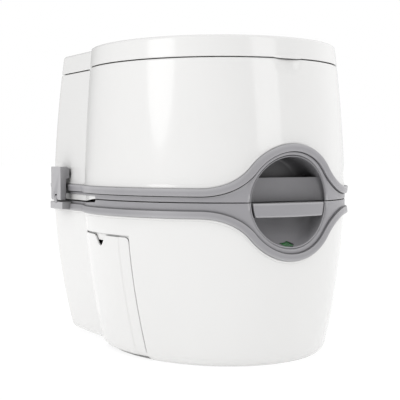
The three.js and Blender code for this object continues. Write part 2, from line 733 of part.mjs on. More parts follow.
function latchPinX() {
  return (LATCH.inner + LATCH.outer) / 2;
}

function latchPin(side) {
  const [y0, y1] = [LATCH.front + LATCH_PIN_INSET, LATCH.rear - LATCH_PIN_INSET];
  return alongY(2, side * latchPinX(), LATCH_PIN_Z, y0, y1);
}

// Sill and knuckle on the lower trim that carry a latch
function latchSeat(side) {
  const { inner, bottom, sill, beyond } = LATCH_SEAT;
  const [x0, x1] = side > 0 ? [inner, LATCH.outer - 1] : [1 - LATCH.outer, -inner];
  const base = box(x0, x1, LATCH.front - beyond, LATCH.rear + beyond, bottom, sill);
  const knuckle = box(x0, x1, KNUCKLE.front, KNUCKLE.rear, bottom, SEAM - GAP);
  const inside = barrel(evenLevels(200, 240, 2, GAP));
  return base.add(knuckle).subtract(inside).subtract(latchBore(side));
}

const pieces = [
  ["lower_shell", lowerShell(), "white"],
  ["lower_trim", trim(true).add(latchSeat(-1)).add(latchSeat(1)), "grey"],
  ["lower_grip_cup", lowerCup(), "grey"],
  ["indicator_window", indicatorWindow(), "clear"],
  ["roll_compartment", rollCompartment(), "white"],
  ["roll_bracket_front", spindleBracket(ROLL_BOX.front + LINER_WALL + GAP + 3, 1), "white"],
  ["roll_bracket_rear", spindleBracket(ROLL_BOX.rear - LINER_WALL - GAP - 3, -1), "white"],
  ["roll_spindle", rollSpindle(), "white"],
  ["door_panel", doorPanel(), "white"],
  ["door_hinge_pin", doorPin(), "steel"],
  ["waste_deck", wasteDeck(), "white"],
  ["valve_housing", valveHousing(), "dark"],
  ["valve_seal", valveSeal(), "rubber"],
  ["valve_blade", valveBlade(), "dark"],
  ["valve_handle", valveHandle(), "grey"],
  ["gauge_bracket", gaugeBracket(), "dark"],
  ["gauge_pin", gaugePin(), "steel"],
  ["gauge_flag", gaugeFlag(), "green"],
  ["gauge_float", gaugeFloat(), "white"],
  ["pour_spout", pourSpout(), "dark"],
  ["spout_cap", spoutCap(), "dark"],
  ["latch_left", latch(-1), "grey"],
  ["latch_right", latch(1), "grey"],
  ["latch_pin_left", latchPin(-1), "steel"],
  ["latch_pin_right", latchPin(1), "steel"],
  ["upper_shell", upperShell(), "white"],
  ["upper_trim", trim(false), "grey"],
  ["upper_grip_cup", upperCup(), "grey"],
  ["flush_floor", flushFloor(), "white"],
  ["flush_deck", flushDeck(), "white"],
  ["bowl", bowl(), "white"],
  ["outlet_seal", outletSeal(), "rubber"],
  ["filler_neck", fillerNeck(), "white"],
  ["filler_cap", fillerCap(), "grey"],
  ["pump_body", pumpBody(), "white"],
  ["pump_piston", pumpPiston(), "dark"],
  ["flush_button", flushButton(), "grey"],
  ["flush_pipe", flushPipe(), "dark"],
  ["flush_nozzle", flushNozzle(), "grey"],
  ["hinge_lug_left", hingeLug(-1), "white"],
  ["hinge_lug_right", hingeLug(1), "white"],
  ["hinge_pin_left", hingePin(-1), "steel"],
  ["hinge_pin_right", hingePin(1), "steel"],
  ["seat", seat(), "white"],
  ["lid", lid(), "white"],
  ["seat_bumper_left", seatBumper(-1), "rubber"],
  ["seat_bumper_right", seatBumper(1), "rubber"],
];

const toilet = new THREE.Group();
for (const [name, body, kind] of pieces) {
  toilet.add(toMesh(name, body, kind));
}

export default toilet;
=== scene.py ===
import json
import math

import bmesh
import bpy
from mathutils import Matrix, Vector


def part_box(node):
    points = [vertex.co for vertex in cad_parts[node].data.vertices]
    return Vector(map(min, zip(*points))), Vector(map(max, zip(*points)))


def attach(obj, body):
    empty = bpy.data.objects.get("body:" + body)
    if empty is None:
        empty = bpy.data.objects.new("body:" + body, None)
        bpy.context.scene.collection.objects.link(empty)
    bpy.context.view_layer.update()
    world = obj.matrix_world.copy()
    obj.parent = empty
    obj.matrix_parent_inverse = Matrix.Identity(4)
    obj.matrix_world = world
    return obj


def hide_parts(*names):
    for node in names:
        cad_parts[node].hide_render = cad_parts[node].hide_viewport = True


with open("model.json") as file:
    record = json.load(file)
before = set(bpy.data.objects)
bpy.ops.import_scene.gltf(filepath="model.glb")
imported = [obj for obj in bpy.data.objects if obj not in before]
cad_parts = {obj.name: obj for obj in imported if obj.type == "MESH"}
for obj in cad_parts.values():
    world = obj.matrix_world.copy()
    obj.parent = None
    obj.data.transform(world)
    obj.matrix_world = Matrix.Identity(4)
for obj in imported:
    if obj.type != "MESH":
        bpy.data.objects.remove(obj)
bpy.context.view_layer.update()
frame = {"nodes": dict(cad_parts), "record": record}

# Portable camp toilet. Lengths are in millimetres until a mesh is made, in the CAD model's own frame.
MM = 0.001


def corners(node):
    """Lowest and highest corner of a CAD node in millimetres."""
    low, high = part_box(node)
    return low / MM, high / MM


# Heights and sizes read from the frame
HEIGHT = corners("lid")[1].z
SEAM = (corners("lower_trim")[1].z + corners("upper_trim")[0].z) / 2
LID_GAP = 1.4
LID_SEAM = corners("upper_shell")[1].z + LID_GAP / 2
REAR = corners("upper_shell")[1].y
LIP_PROUD = 5.3
LIP_SINK = 2.3
FRONT = -corners("upper_trim")[0].y - LIP_PROUD + LIP_SINK
LATCH_LOW, LATCH_HIGH = corners("latch_right")
HINGE_PIN_LOW, HINGE_PIN_HIGH = corners("hinge_pin_right")
HINGE_Y = (HINGE_PIN_LOW.y + HINGE_PIN_HIGH.y) / 2
HINGE_Z = (HINGE_PIN_LOW.z + HINGE_PIN_HIGH.z) / 2

# Body outline: a superellipse at the front, a crease on each side, a narrower flat rear
BODY_TOP = 448
WAIST = 225
HALF_WIDTH = 190
ROUNDNESS = 2.07
WIDEST_Y = 5
CREASE_Y = 61
CREASE_RUN = 14
CREASE_DROP = 8
REAR_HALF_WIDTH = 174.5
REAR_CORNER = 10
BARREL_POWER = 1.75
TOP_FALL = {"width": 12.5, "front": 19.5, "rear": 18.5}
BOTTOM_FALL = {"width": 32, "front": 27, "rear": 33.5}
BACK_EVEN = 106
CENTRE_Y = -5

# Trim bands: the offset curve of a straight band with a round swelling over the grip recess
UPPER, LOWER = 1, -1
BUMP = {
    UPPER: {"outer": 78.3, "inner": 68.0, "band": 18.6},
    LOWER: {"outer": 79.5, "inner": 70.0, "band": 20.8},
}
FILLET_X = 120
RECESS_EDGE = 63
COLLAR_EDGE = 66
CUP_RADIUS = 60.5
CUP_OUTER = 62.6
RECESS_DEPTH = 46
CUP_RIM = ((CUP_OUTER, -2.2), (CUP_OUTER - 0.3, -1.7), (61.4, -1.7), (60.8, -2.1), (CUP_RADIUS, -3))
SCOOP_START, SCOOP_LIP = 17, 4
FLAG_OPENING = [(-11.5, 168.6), (-2, 169), (4, 170.8), (6.4, 169.6)]
FLAG_OPENING += [(11, 166.4), (1.5, 163.6), (-7.5, 164.8)]
ROD_SLOT = [(-19, 206.6), (19, 206.6), (19, 213.4), (-19, 213.4)]
SHELF_HEIGHT = 33
SHELF_DEPTH = 24
BAND_OUT = 0.6
TRIM_WALL = 1.6
TRIM_GROOVE = {UPPER: -0.6, LOWER: 0.45}
RECESS_RINGS = ((67, 1.2), (66, 0.8), (65, 0.45), (64, 0.2), (63.3, 0.06), (RECESS_EDGE, 0))
BEAD = {UPPER: 0.7, LOWER: 1.5}

# Wedge-shaped opening between the two trims on each side
WEDGE_START = 3
WEDGE_END = 172
WEDGE_RUN = 72
WEDGE_DROP = (3.8, 6.6)
WEDGE_RISE = (4.0, 3.2)
COLLAR_GAP = 0.6
UPPER_COLLAR = (0.4, -5.2)
LOWER_COLLAR = (4.6, 7.6)
SEAM_GAP = 0.55

LATCH_HOOK = 5.8
LATCH_PIN_Z = 221.5
LATCH_SILL = 215.8
KNUCKLE_FRONT, KNUCKLE_REAR = 146, 154
KNUCKLE_ROOM = 5.7

WALL = 3

# Side door
DOOR_LOW, DOOR_HIGH = corners("door_panel")
DOOR_FRONT, DOOR_REAR = DOOR_LOW.y, DOOR_HIGH.y
DOOR_BOTTOM, DOOR_TOP = DOOR_LOW.z, DOOR_HIGH.z
DOOR_GAP = 1.8
DOOR_CORNER = 7
DOOR_FOLD = 21
FOLD_DEPTH = 1.2
STOP_DROP = 7.5
NOTCH_Y, NOTCH_WIDTH, NOTCH_DEPTH = -3, 36, 15
DOOR_EARS = {"door_ear_front": (-48, -40), "door_ear_rear": (28, 36)}
EAR_RADIUS = 5.2

# The underside rises a little towards the rear
REAR_LIFT = 4.5

# Rear slots for the hinges, bowl and seat
SEAT_ARM_SLOT = (45, 63)
LID_HINGE_SLOT = (43, 77)
BOWL_Y = -20
SEAT_THICKNESS = 14
SEAT_HOLE = 112
SEAT_REAR = 112


def smoothstep(t):
    t = min(max(t, 0), 1)
    return t * t * (3 - 2 * t)


def lerp(a, b, t):
    return a + (b - a) * t


def fall(z, amount):
    if z > WAIST:
        return TOP_FALL[amount] * ((z - WAIST) / (BODY_TOP - WAIST)) ** BARREL_POWER
    return BOTTOM_FALL[amount] * ((WAIST - z) / WAIST) ** BARREL_POWER


def crease_share(station):
    """0 on the rounded front part of the body, 1 on the narrower rear part."""
    _, kind, value = station
    if kind == "front":
        return 0
    if kind == "side":
        return smoothstep((value - CREASE_Y + 1.5) / (CREASE_RUN + 3))
    return 1


def place(station, z, out=0):
    """The point of the body's surface at a station and a height, moved out by a distance."""
    sign, kind, value = station
    width = HALF_WIDTH - fall(z, "width") + out
    front = FRONT - fall(z, "front") + out
    rear_width = REAR_HALF_WIDTH - fall(z, "rear") + out
    rear = REAR + out
    power = 2 / ROUNDNESS
    if kind == "front":
        x = width * math.sin(value) ** power
        y = WIDEST_Y - (front + WIDEST_Y) * math.cos(value) ** power
    elif kind == "side" and value < WIDEST_Y:
        share = (WIDEST_Y - value) / (front + WIDEST_Y)
        x = width * (1 - share ** ROUNDNESS) ** (1 / ROUNDNESS)
        y = value
    elif kind == "side":
        share = (value - WIDEST_Y) / (CREASE_Y - WIDEST_Y)
        x = lerp(width - CREASE_DROP * min(share, 1.15) ** 2, rear_width, crease_share(station))
        y = min(value, rear - REAR_CORNER)
    elif kind == "corner":
        x = rear_width - REAR_CORNER * (1 - math.cos(value))
        y = rear - REAR_CORNER * (1 - math.sin(value))
    else:
        spread = (rear_width - REAR_CORNER - BACK_EVEN) / (REAR_HALF_WIDTH - REAR_CORNER - BACK_EVEN)
        x = min(value, BACK_EVEN) + max(value - BACK_EVEN, 0) * spread
        y = rear
    return Vector((sign * x, y, z))


def reference_x(station):
    """Sideways place of a front station at the waist; stations behind the front lie past the swelling."""
    _, kind, value = station
    if kind != "front":
        return HALF_WIDTH
    return HALF_WIDTH * math.sin(value) ** (2 / ROUNDNESS)


def front_station(x):
    return ("front", math.asin((x / HALF_WIDTH) ** (ROUNDNESS / 2)))


def half_stations():
    """Stations from the middle of the front to the middle of the rear, closest where the shape turns."""
    across = [RECESS_EDGE * math.sin(math.radians(4.5 * i)) for i in range(21)]
    across += [63.6, 64.4, 65.4, 66.4, 67.6, 69.5, 71.5, 74, 77, 80]
    across += [80 + 3.4 * i for i in range(1, 14)]
    half = [front_station(x) for x in across]
    half += [("front", math.radians(a)) for a in (43.5, 47, 50.5, 54, 57, 60, 63)]
    side = [-84, -78, DOOR_FRONT - 3, DOOR_FRONT - 2, DOOR_FRONT - DOOR_GAP, DOOR_FRONT]
    side += [DOOR_FRONT + d for d in (1, 2.2, 3.6, 5.2, DOOR_CORNER, 10, 14)]
    side += [-54, -52.8, -52, -51.2, -49, -44, -39, -34, -29, -24]
    side += range(-21, 1, 2)
    side += [1, 2.9, 3.1, 5, 7, 9, 11, 13, 15, 20, 26, 32, 38, 44, 50, 55, 58]
    side += [59.2, DOOR_REAR, DOOR_REAR + DOOR_GAP, 62.8, 64, 65.3, 66.6, 68, 69.4, 70.8, 73, 77]
    side += [85, 95, 106, 118, 125, 131, 140, 150, 160, 165, 171, 173, 180, 188, 197]
    half += [("side", y) for y in side]
    half += [("corner", math.radians(a)) for a in range(10, 91, 10)]
    half += [("back", x) for x in (140, 120, 106, 92, 78, 77, 63, 59, 54, 45, 43, 30, 15, 0)]
    return half


HALF = half_stations()
STATIONS = [(1, *s) for s in HALF] + [(-1, *s) for s in HALF[-2:0:-1]]


# Mesh making


def new_piece(name, bm, slot_name, body, nodes=(), sharp=38, bevel=0, segments=3):
    """Turns a bmesh in metres into a piece that rides on a body and may stand for CAD nodes."""
    bmesh.ops.remove_doubles(bm, verts=bm.verts, dist=2e-6)
    bmesh.ops.dissolve_degenerate(bm, edges=bm.edges, dist=1e-6)
    bmesh.ops.recalc_face_normals(bm, faces=bm.faces)
    mesh = bpy.data.meshes.new(name)
    bm.to_mesh(mesh)
    bm.free()
    mesh.shade_smooth()
    mesh.set_sharp_from_angle(angle=math.radians(sharp))
    mesh.materials.append(MATERIALS[slot_name])
    piece = bpy.data.objects.new(name, mesh)
    bpy.context.scene.collection.objects.link(piece)
    if bevel:
        soften(piece, bevel, segments, sharp)
    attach(piece, body)
    if nodes:
        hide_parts(*nodes)
    return piece


def soften(piece, width, segments=3, sharp=30):
    """Rounds the edges that are sharper than an angle."""
    modifier = piece.modifiers.new("edges", "BEVEL")
    modifier.width = width * MM
    modifier.segments = segments
    modifier.limit_method = "ANGLE"
    modifier.angle_limit = math.radians(sharp)
    modifier.harden_normals = True


def sheet_mesh(outer, inner, keep=lambda i, j: True, closed=True, capped=True):
    """A solid sheet between two skins, each a list of columns of points. Cells not kept are left open."""
    bm = bmesh.new()
    columns, rows = len(outer), len(outer[0])
    top, back = ([[bm.verts.new(p * MM) for p in column] for column in skin] for skin in (outer, inner))

    def kept(i, j):
        if not 0 <= j < rows - 1:
            return False
        if closed:
            return keep(i % columns, j)
        return 0 <= i < columns - 1 and keep(i, j)

    def wall(a, b, p, q):
        bm.faces.new((top[a][b], top[p][q], back[p][q], back[a][b]))

    for i in range(columns if closed else columns - 1):
        k = (i + 1) % columns
        for j in range(rows - 1):
            if not kept(i, j):
                continue
            bm.faces.new((top[i][j], top[k][j], top[k][j + 1], top[i][j + 1]))
            bm.faces.new((back[i][j + 1], back[k][j + 1], back[k][j], back[i][j]))
            if not kept(i - 1, j):
                wall(i, j, i, j + 1)
            if not kept(i + 1, j) and (capped or i + 2 < columns):
                wall(k, j + 1, k, j)
            if not kept(i, j - 1):
                wall(k, j, i, j)
            if not kept(i, j + 1):
                wall(i, j + 1, k, j + 1)
    return bm


def loft_mesh(sections):
    """A solid through closed sections with equal numbers of points."""
    bm = bmesh.new()
    rings = [[bm.verts.new(Vector(p) * MM) for p in section] for section in sections]
    count = len(rings[0])
    for a, b in zip(rings, rings[1:]):
        for i in range(count):
            k = (i + 1) % count
            bm.faces.new((a[i], a[k], b[k], b[i]))
    bm.faces.new(reversed(rings[0]))
    bm.faces.new(rings[-1])
    return bm


def point_on(axis, along, u, v):
    """A point from its place along an axis (0 = x, 1 = y, 2 = z) and in the plane across it."""
    p = [u, v]
    p.insert(axis, along)
    return p


def lathe_mesh(profile, u, v, sides=96, wave=None, axis=2):
    """A solid of revolution about a line along an axis; wave(radius, height, angle) may change a radius."""
    bm = bmesh.new()
    rings = []
    for angle in (2 * math.pi * i / sides for i in range(sides)):
        ring = []
        for r, height in profile:
            radius = wave(r, height, angle) if wave else r
            p = point_on(axis, height, u + radius * math.cos(angle), v + radius * math.sin(angle))
            ring.append(bm.verts.new(Vector(p) * MM))
        rings.append(ring)
    for a, b in zip(rings, rings[1:] + rings[:1]):
        for j in range(len(profile) - 1):
            bm.faces.new((a[j], b[j], b[j + 1], a[j + 1]))
    return bm


def prism_mesh(points, axis, low, high):
    """A polygon drawn in the plane across an axis, carried from low to high."""
    return loft_mesh([[point_on(axis, along, u, v) for u, v in points] for along in (low, high)])


def arc(cx, cy, radius, start, end, steps):
    """Points of an arc between two angles in degrees."""
    angles = [math.radians(lerp(start, end, i / steps)) for i in range(steps + 1)]
    return [(cx + radius * math.cos(a), cy + radius * math.sin(a)) for a in angles]


def rounded(points, radius, steps=4):
    """A closed polygon with its corners rounded."""
    result = []
    for before, corner, after in zip(points[-1:] + points[:-1], points, points[1:] + points[:1]):
        c = Vector(corner)
        to_before = Vector(before) - c
        to_after = Vector(after) - c
        reach = min(radius, to_before.length * 0.45, to_after.length * 0.45)
        start = c + to_before.normalized() * reach
        end = c + to_after.normalized() * reach
        for i in range(steps + 1):
            t = i / steps
            p = start * (1 - t) ** 2 + c * 2 * t * (1 - t) + end * t ** 2
            result.append((p.x, p.y))
    return result


def subtract(piece, cutter_mesh):
    """Cuts a closed bmesh out of a piece, and drops the cutter."""
    bmesh.ops.recalc_face_normals(cutter_mesh, faces=cutter_mesh.faces)
    mesh = bpy.data.meshes.new("cutter")
    cutter_mesh.to_mesh(mesh)
    cutter_mesh.free()
    mesh.shade_smooth()
    cutter = bpy.data.objects.new("cutter", mesh)
    bpy.context.scene.collection.objects.link(cutter)
    modifier = piece.modifiers.new("cut", "BOOLEAN")
    modifier.operation = "DIFFERENCE"
    modifier.solver = "EXACT"
    modifier.object = cutter
    graph = bpy.context.evaluated_depsgraph_get()
    cut = bpy.data.meshes.new_from_object(piece.evaluated_get(graph))
    piece.modifiers.remove(modifier)
    old = piece.data
    piece.data = cut
    cut.name = piece.name
    bpy.data.meshes.remove(old)
    bpy.data.objects.remove(cutter)
    cut.shade_smooth()
    cut.set_sharp_from_angle(angle=math.radians(34))
    return piece


# Materials


def node(tree, kind, **inputs):
    made = tree.nodes.new(kind)
    for name, value in inputs.items():
        made.inputs[name.replace("_", " ")].default_value = value
    return made


def noise(tree, coordinates, scale, detail=3.0):
    made = node(tree, "ShaderNodeTexNoise", Scale=scale, Detail=detail)
    tree.links.new(coordinates, made.inputs["Vector"])
    return made.outputs["Fac"]


def mapped(tree, value, low, high, start=0.0, end=1.0):
    made = node(tree, "ShaderNodeMapRange", From_Min=start, From_Max=end, To_Min=low, To_Max=high)
    tree.links.new(value, made.inputs["Value"])
    return made.outputs["Result"]


def tinted(tree, factor, colour_a, colour_b):
    """Mix of two colours; each may be a plain colour or a socket."""
    mix = node(tree, "ShaderNodeMix")
    mix.data_type = "RGBA"
    tree.links.new(factor, mix.inputs[0])
    for socket, colour in ((mix.inputs[6], colour_a), (mix.inputs[7], colour_b)):
        if isinstance(colour, tuple):
            socket.default_value = (*colour, 1)
        else:
            tree.links.new(colour, socket)
    return mix.outputs[2]


def worn(tree, colour, wear):
    """The colour, paler along the outer edges."""
    edge = tree.nodes.new("ShaderNodeNewGeometry").outputs["Pointiness"]
    return tinted(tree, mapped(tree, edge, 0.0, wear, 0.515, 0.6), colour, WORN_COLOUR)


def painted_hollow_shade(tree, colour, hollow_shade):
    """The colour with painted shade, dark where the surface is shut in; the last argument is a distance, a
    strength and an open share.
    """
    distance, strength, open_share = hollow_shade
    corner = node(tree, "ShaderNodeAmbientOcclusion", Distance=distance)
    corner.samples = 8
    shade_share = mapped(tree, corner.outputs["AO"], strength, 0.0, 0.15, open_share)
    return tinted(tree, shade_share, colour, (0.0, 0.0, 0.0))


def scuffed(tree, coordinates, rough):
    """Roughness with hairline scuffs that run up and down."""
    stretch = tree.nodes.new("ShaderNodeMapping")
    stretch.inputs["Scale"].default_value = (1.0, 1.0, 0.06)
    tree.links.new(coordinates, stretch.inputs["Vector"])
    scuffs = noise(tree, stretch.outputs["Vector"], SCUFF_SCALE, 2.0)
    return mapped(tree, scuffs, rough * 0.85, rough * 1.2, 0.35, 0.65)


def grained(tree, coordinates, grain):
    """Normals of a fine moulding grain."""
    bump = node(tree, "ShaderNodeBump", Strength=grain, Distance=0.00006)
    tree.links.new(noise(tree, coordinates, GRAIN_SCALE, 2.0), bump.inputs["Height"])
    return bump.outputs["Normal"]


def moulded(name, colour, rough, grain, tint=0.03, wear=0.0, coat=0.0, metallic=0.0, clear=0.0, hollow_shade=None):
    """Plastic, rubber or metal with a cloudy tint, grain, scuffs, worn edges and shade painted into corners
    and hollows.
    """
    material = bpy.data.materials.new(name)
    material.use_nodes = True
    tree = material.node_tree
    inputs = tree.nodes["Principled BSDF"].inputs
    coordinates = tree.nodes.new("ShaderNodeTexCoord").outputs["Object"]

    darker = tuple(c * (1 - tint) for c in colour)
    lighter = tuple(min(c * (1 + tint), 1) for c in colour)
    surface = tinted(tree, noise(tree, coordinates, CLOUD_SCALE), darker, lighter)
    if wear:
        surface = worn(tree, surface, wear)
    # Painted shade: ambient occlusion darkens the colour in corners, seams, gaps and recesses
    if not clear:
        surface = painted_hollow_shade(tree, surface, hollow_shade or PLAIN_HOLLOW_SHADE)
    tree.links.new(surface, inputs["Base Color"])
    tree.links.new(scuffed(tree, coordinates, rough), inputs["Roughness"])
    tree.links.new(grained(tree, coordinates, grain), inputs["Normal"])
    inputs["Metallic"].default_value = metallic
    inputs["Coat Weight"].default_value = coat
    inputs["Coat Roughness"].default_value = rough * 0.4
    inputs["Transmission Weight"].default_value = clear
    return material


# Noise scales per metre, and the distance, strength and open share of the shade painted into corners, seams
# and recesses
CLOUD_SCALE, SCUFF_SCALE, GRAIN_SCALE = 14.0, 420.0, 1500.0
WORN_COLOUR = (0.80, 0.80, 0.80)
PLAIN_HOLLOW_SHADE = (0.006, 0.5, 0.9)
WHITE_HOLLOW_SHADE = (0.007, 0.8, 0.62)
GREY_HOLLOW_SHADE = (0.045, 0.9, 0.9)
SCOOP_HOLLOW_SHADE = (0.03, 0.5, 0.9)
GREEN_HOLLOW_SHADE = (0.002, 0.2, 0.9)
FINISHES = {
    "white_plastic": dict(
        colour=(0.745, 0.742, 0.735), rough=0.15, grain=0.05, tint=0.008, coat=0.3, hollow_shade=WHITE_HOLLOW_SHADE
    ),
    "inner_plastic": dict(colour=(0.78, 0.78, 0.76), rough=0.42, grain=0.3, tint=0.02, hollow_shade=WHITE_HOLLOW_SHADE),
    "grey_plastic": dict(colour=(0.29, 0.285, 0.30), rough=0.34, grain=0.35, wear=0.6, hollow_shade=GREY_HOLLOW_SHADE),
    # A lighter copy of the grey plastic with weaker painted shade: painted light on the lower recess's
    # scoop and the latch knuckles
    "grey_plastic_painted_light": dict(colour=(0.31, 0.305, 0.32), rough=0.34, grain=0.35, hollow_shade=SCOOP_HOLLOW_SHADE),
    # A darker copy of the grey plastic: painted shade in the upper grip recess
    "grey_plastic_painted_shade": dict(colour=(0.20, 0.197, 0.207), rough=0.38, grain=0.35, hollow_shade=GREY_HOLLOW_SHADE),
    "dark_plastic": dict(colour=(0.035, 0.035, 0.038), rough=0.42, grain=0.4, tint=0.1, wear=0.15),
    "rubber": dict(colour=(0.018, 0.018, 0.018), rough=0.7, grain=0.6, tint=0.15),
    "steel": dict(colour=(0.62, 0.62, 0.63), rough=0.24, grain=0.2, tint=0.04, metallic=1.0),
    "green_plastic": dict(colour=(0.03, 0.60, 0.10), rough=0.38, grain=0.2, tint=0.08, hollow_shade=GREEN_HOLLOW_SHADE),
    "window": dict(colour=(0.85, 0.97, 0.88), rough=0.06, grain=0.05, tint=0.01, clear=0.95),
}
MATERIALS = {name: moulded(name, **finish) for name, finish in FINISHES.items()}


# Trim curves


def trim_height(x, side, inset):
    """Height of the trim's outer edge above the seam, moved in by a distance."""
    bump = BUMP[side]
    rise = bump["outer"] - bump["band"]
    fillet_z = (FILLET_X ** 2 - rise ** 2) / (2 * rise)
    radius = bump["outer"] - inset
    band = bump["band"] - inset
    meet = FILLET_X * radius / math.hypot(FILLET_X, fillet_z)
    if x <= meet:
        return math.sqrt(max(radius ** 2 - x ** 2, 0))
    if x < FILLET_X:
        return fillet_z - math.sqrt((fillet_z - band) ** 2 - (FILLET_X - x) ** 2)
    return band


def ring_height(x, radius):
    return math.sqrt(max(radius ** 2 - x ** 2, 0))


def wedge_share(station):
    """None outside the side opening; from 0 at its front end to 1 where it has reached its full shape."""
    _, kind, value = station
    if kind != "side" or not WEDGE_START < value < WEDGE_END:
        return None
    return smoothstep((value - WEDGE_START) / WEDGE_RUN)


def wedge(station, side):
    """How far the trim's seam edge stands back from the seam in the side opening."""
    share = wedge_share(station)
    if share is None:
        return 0
    low, high = (WEDGE_DROP if side == LOWER else WEDGE_RISE)
    return lerp(low, high, share) * smoothstep((station[2] - WEDGE_START) / 3)


def collar_edge(station, side):
    """Distance of a shell's collar from the seam; in the side opening the upper one crosses the seam."""
    share = wedge_share(station)
    if share is None:
        return COLLAR_GAP
    ends = LOWER_COLLAR if side == LOWER else UPPER_COLLAR
    return lerp(*ends, share)


def rounding(distance, reach, depth):
    """Drop of a rounded edge at a distance from it."""
    share = 1 - min(max(distance / reach, 0), 1)
    return depth * (1 - math.sqrt(max(1 - share * share, 0)))


def trim_profile(side):
    """(inset, out) points across the raised lip of a trim and the groove beside it."""
    lip = BUMP[side]["outer"] - BUMP[side]["inner"]
    groove = TRIM_GROOVE[side]
    return [
        (0, 0.2), (0, 3.9), (0.12, 4.5), (0.45, 5.0), (1.0, 5.3), (lip * 0.5, 4.75), (lip - 0.9, 4.1),
        (lip - 0.3, 3.85), (lip - 0.05, 3.4), (lip, 2.9), (lip, groove), (lip + 0.9, groove),
        (lip + 0.95, max(groove, 0.2)), (lip + 1.25, BAND_OUT),
    ]


def trim_column(station, side):
    """Outer and inner skin of a trim at a station, from its outer edge to the seam or the recess."""
    x = reference_x(station)
    profile = trim_profile(side)
    outer = [(trim_height(x, side, inset), out) for inset, out in profile]
    inner = [(trim_height(x, side, max(inset, 1.2)), 0.12) for inset, _ in profile[:8]]
    inner += [(trim_height(x, side, inset + 1.4), -TRIM_WALL) for inset, _ in profile[8:]]
    edge = SEAM_GAP + wedge(station, side)
    start = max(ring_height(x, RECESS_RINGS[0][0]), edge + RECESS_RINGS[0][1])
    last = outer[-1][0]
    rows = [lerp(last, start, share) for share in (0.25, 0.5, 0.75)]
    rows += [max(ring_height(x, radius), edge + rest) for radius, rest in RECESS_RINGS]
    for height in rows:
        drop = rounding(math.hypot(x, height) - RECESS_EDGE, 4.2, 3.2) + rounding(height - edge, 1.2, 0.9)
        outer.append((height, BAND_OUT - drop))
        inner.append((height, min(-TRIM_WALL, BAND_OUT - drop - 1.1)))
    return (
        [place(station, SEAM + side * h, out) for h, out in outer],
        [place(station, SEAM + side * h, out) for h, out in inner],
    )


def make_trim(name, side, body, nodes):
    outer, inner = zip(*(trim_column(station, side) for station in STATIONS))
    new_piece(name, sheet_mesh(outer, inner), "grey_plastic", body, nodes, sharp=32)


# Shells


def collar_rows(station, side):
    """Outer and inner rows of (distance from the seam, out), from the collar to the plain wall."""
    x = reference_x(station)
    bump = BUMP[side]
    collar = collar_edge(station, side)
    if x < COLLAR_EDGE:
        collar = max(collar, ring_height(x, COLLAR_EDGE))
    rabbet = trim_height(x, side, bump["outer"] - bump["inner"]) + 0.4
    edge = trim_height(x, side, 0)
    bead = BEAD[side]
    outer = [(collar, -2.2), (rabbet - 0.2, -2.2), (rabbet, -0.3), (rabbet + 0.3, 0), (edge - 0.9, 0)]
    outer += [(edge - 0.2, bead * 0.6), (edge + 0.3, bead * 0.9), (edge + 1.2, bead)]
    outer.append((edge + 2.5, bead * 0.9))
    if side == LOWER:
        outer += [(edge + 3.2, bead * 0.7), (edge + 3.5, -0.2), (edge + 4.6, 0)]
    else:
        outer += [(edge + 3.4, bead * 0.45), (edge + 4.4, bead * 0.12), (edge + 5.8, 0)]
    inner = [(collar, -4.6), (rabbet + 0.6, -4.6), (rabbet + 1.2, -3.4), (rabbet + 1.8, -WALL)]
    inner += [(h, -WALL) for h, _ in outer[4:]]
    return outer, inner


def door_edge_drop(station, z):
    """How far the wall is rounded inwards next to the door opening."""
    sign, kind, y = station
    if sign > 0 or kind != "side" or not DOOR_FRONT - 4 < y < DOOR_REAR + 4 or z > DOOR_TOP + 4:
        return 0
    beside = max(DOOR_FRONT - DOOR_GAP - y, y - DOOR_REAR - DOOR_GAP, z - DOOR_TOP - DOOR_GAP)
    return rounding(beside, 2.2, 1.9)


def lower_shell_column(station):
    outer, inner = collar_rows(station, LOWER)
    outer = [(SEAM - h, out, 1) for h, out in outer]
    inner = [(SEAM - h, out, 1) for h, out in inner]
    start = outer[-1][0]
    door_row = min(DOOR_TOP + DOOR_GAP, start - 6)
    heights = [lerp(start, door_row, 0.5), door_row + 2.4, door_row + 1.1, door_row]
    heights += [lerp(door_row, 14, step / 22) for step in range(1, 23)]
    for z in heights:
        outer.append((z, -door_edge_drop(station, z), 1))
        inner.append((z, -WALL, 1))
    lift = REAR_LIFT * crease_share(station)
    for z, out in ((10.5, -0.6), (7.5, -1.6), (5, -3.1), (3, -5), (1.4, -7.2), (0.4, -9.8), (0, -12.5)):
        raised = z + lift * (1 - z / 14)
        outer.append((raised, out, 1))
        inner.append((raised + WALL * 0.8, out - WALL * 0.8, 1))
    for scale in (0.97, 0.9, 0.75, 0.5, 0.25, 0):
        z = lift * smoothstep((scale - 0.7) / 0.3)
        outer.append((z, -12.5, scale))
        inner.append((z + WALL, -14.5, scale))
    return scaled_column(station, outer), scaled_column(station, inner)


def scaled_column(station, rows):
    points = []
    for z, out, scale in rows:
        p = place(station, z, out)
        centre = Vector((0, CENTRE_Y, z))
        points.append(centre + (p - centre) * scale)
    return points


DOOR_FIRST_ROW = 15
DOOR_LAST_ROW = DOOR_FIRST_ROW + 29


def in_door_opening(column, row):
    if not DOOR_FIRST_ROW <= row < DOOR_LAST_ROW:
        return False
    ends = [STATIONS[column], STATIONS[(column + 1) % len(STATIONS)]]
    front, rear = DOOR_FRONT - DOOR_GAP, DOOR_REAR + DOOR_GAP
    return all(sign < 0 and kind == "side" and front <= y <= rear for sign, kind, y in ends)


def make_lower_shell():
    outer, inner = zip(*(lower_shell_column(station) for station in STATIONS))
    bm = sheet_mesh(outer, inner, lambda i, j: not in_door_opening(i, j))
    new_piece("waste_tank_shell", bm, "white_plastic", "waste_tank", ["lower_shell"], sharp=50)


def dish(station, z):
    """Shallow scoop in the flush tank's wall under the lid's finger tab."""
    x = reference_x(station)
    reach = 1 - (x / 20.5) ** 2 - ((LID_SEAM - z) / 22) ** 2
    return -4.2 * max(reach, 0) ** 0.7


LID_EDGE_ROW = 412.5


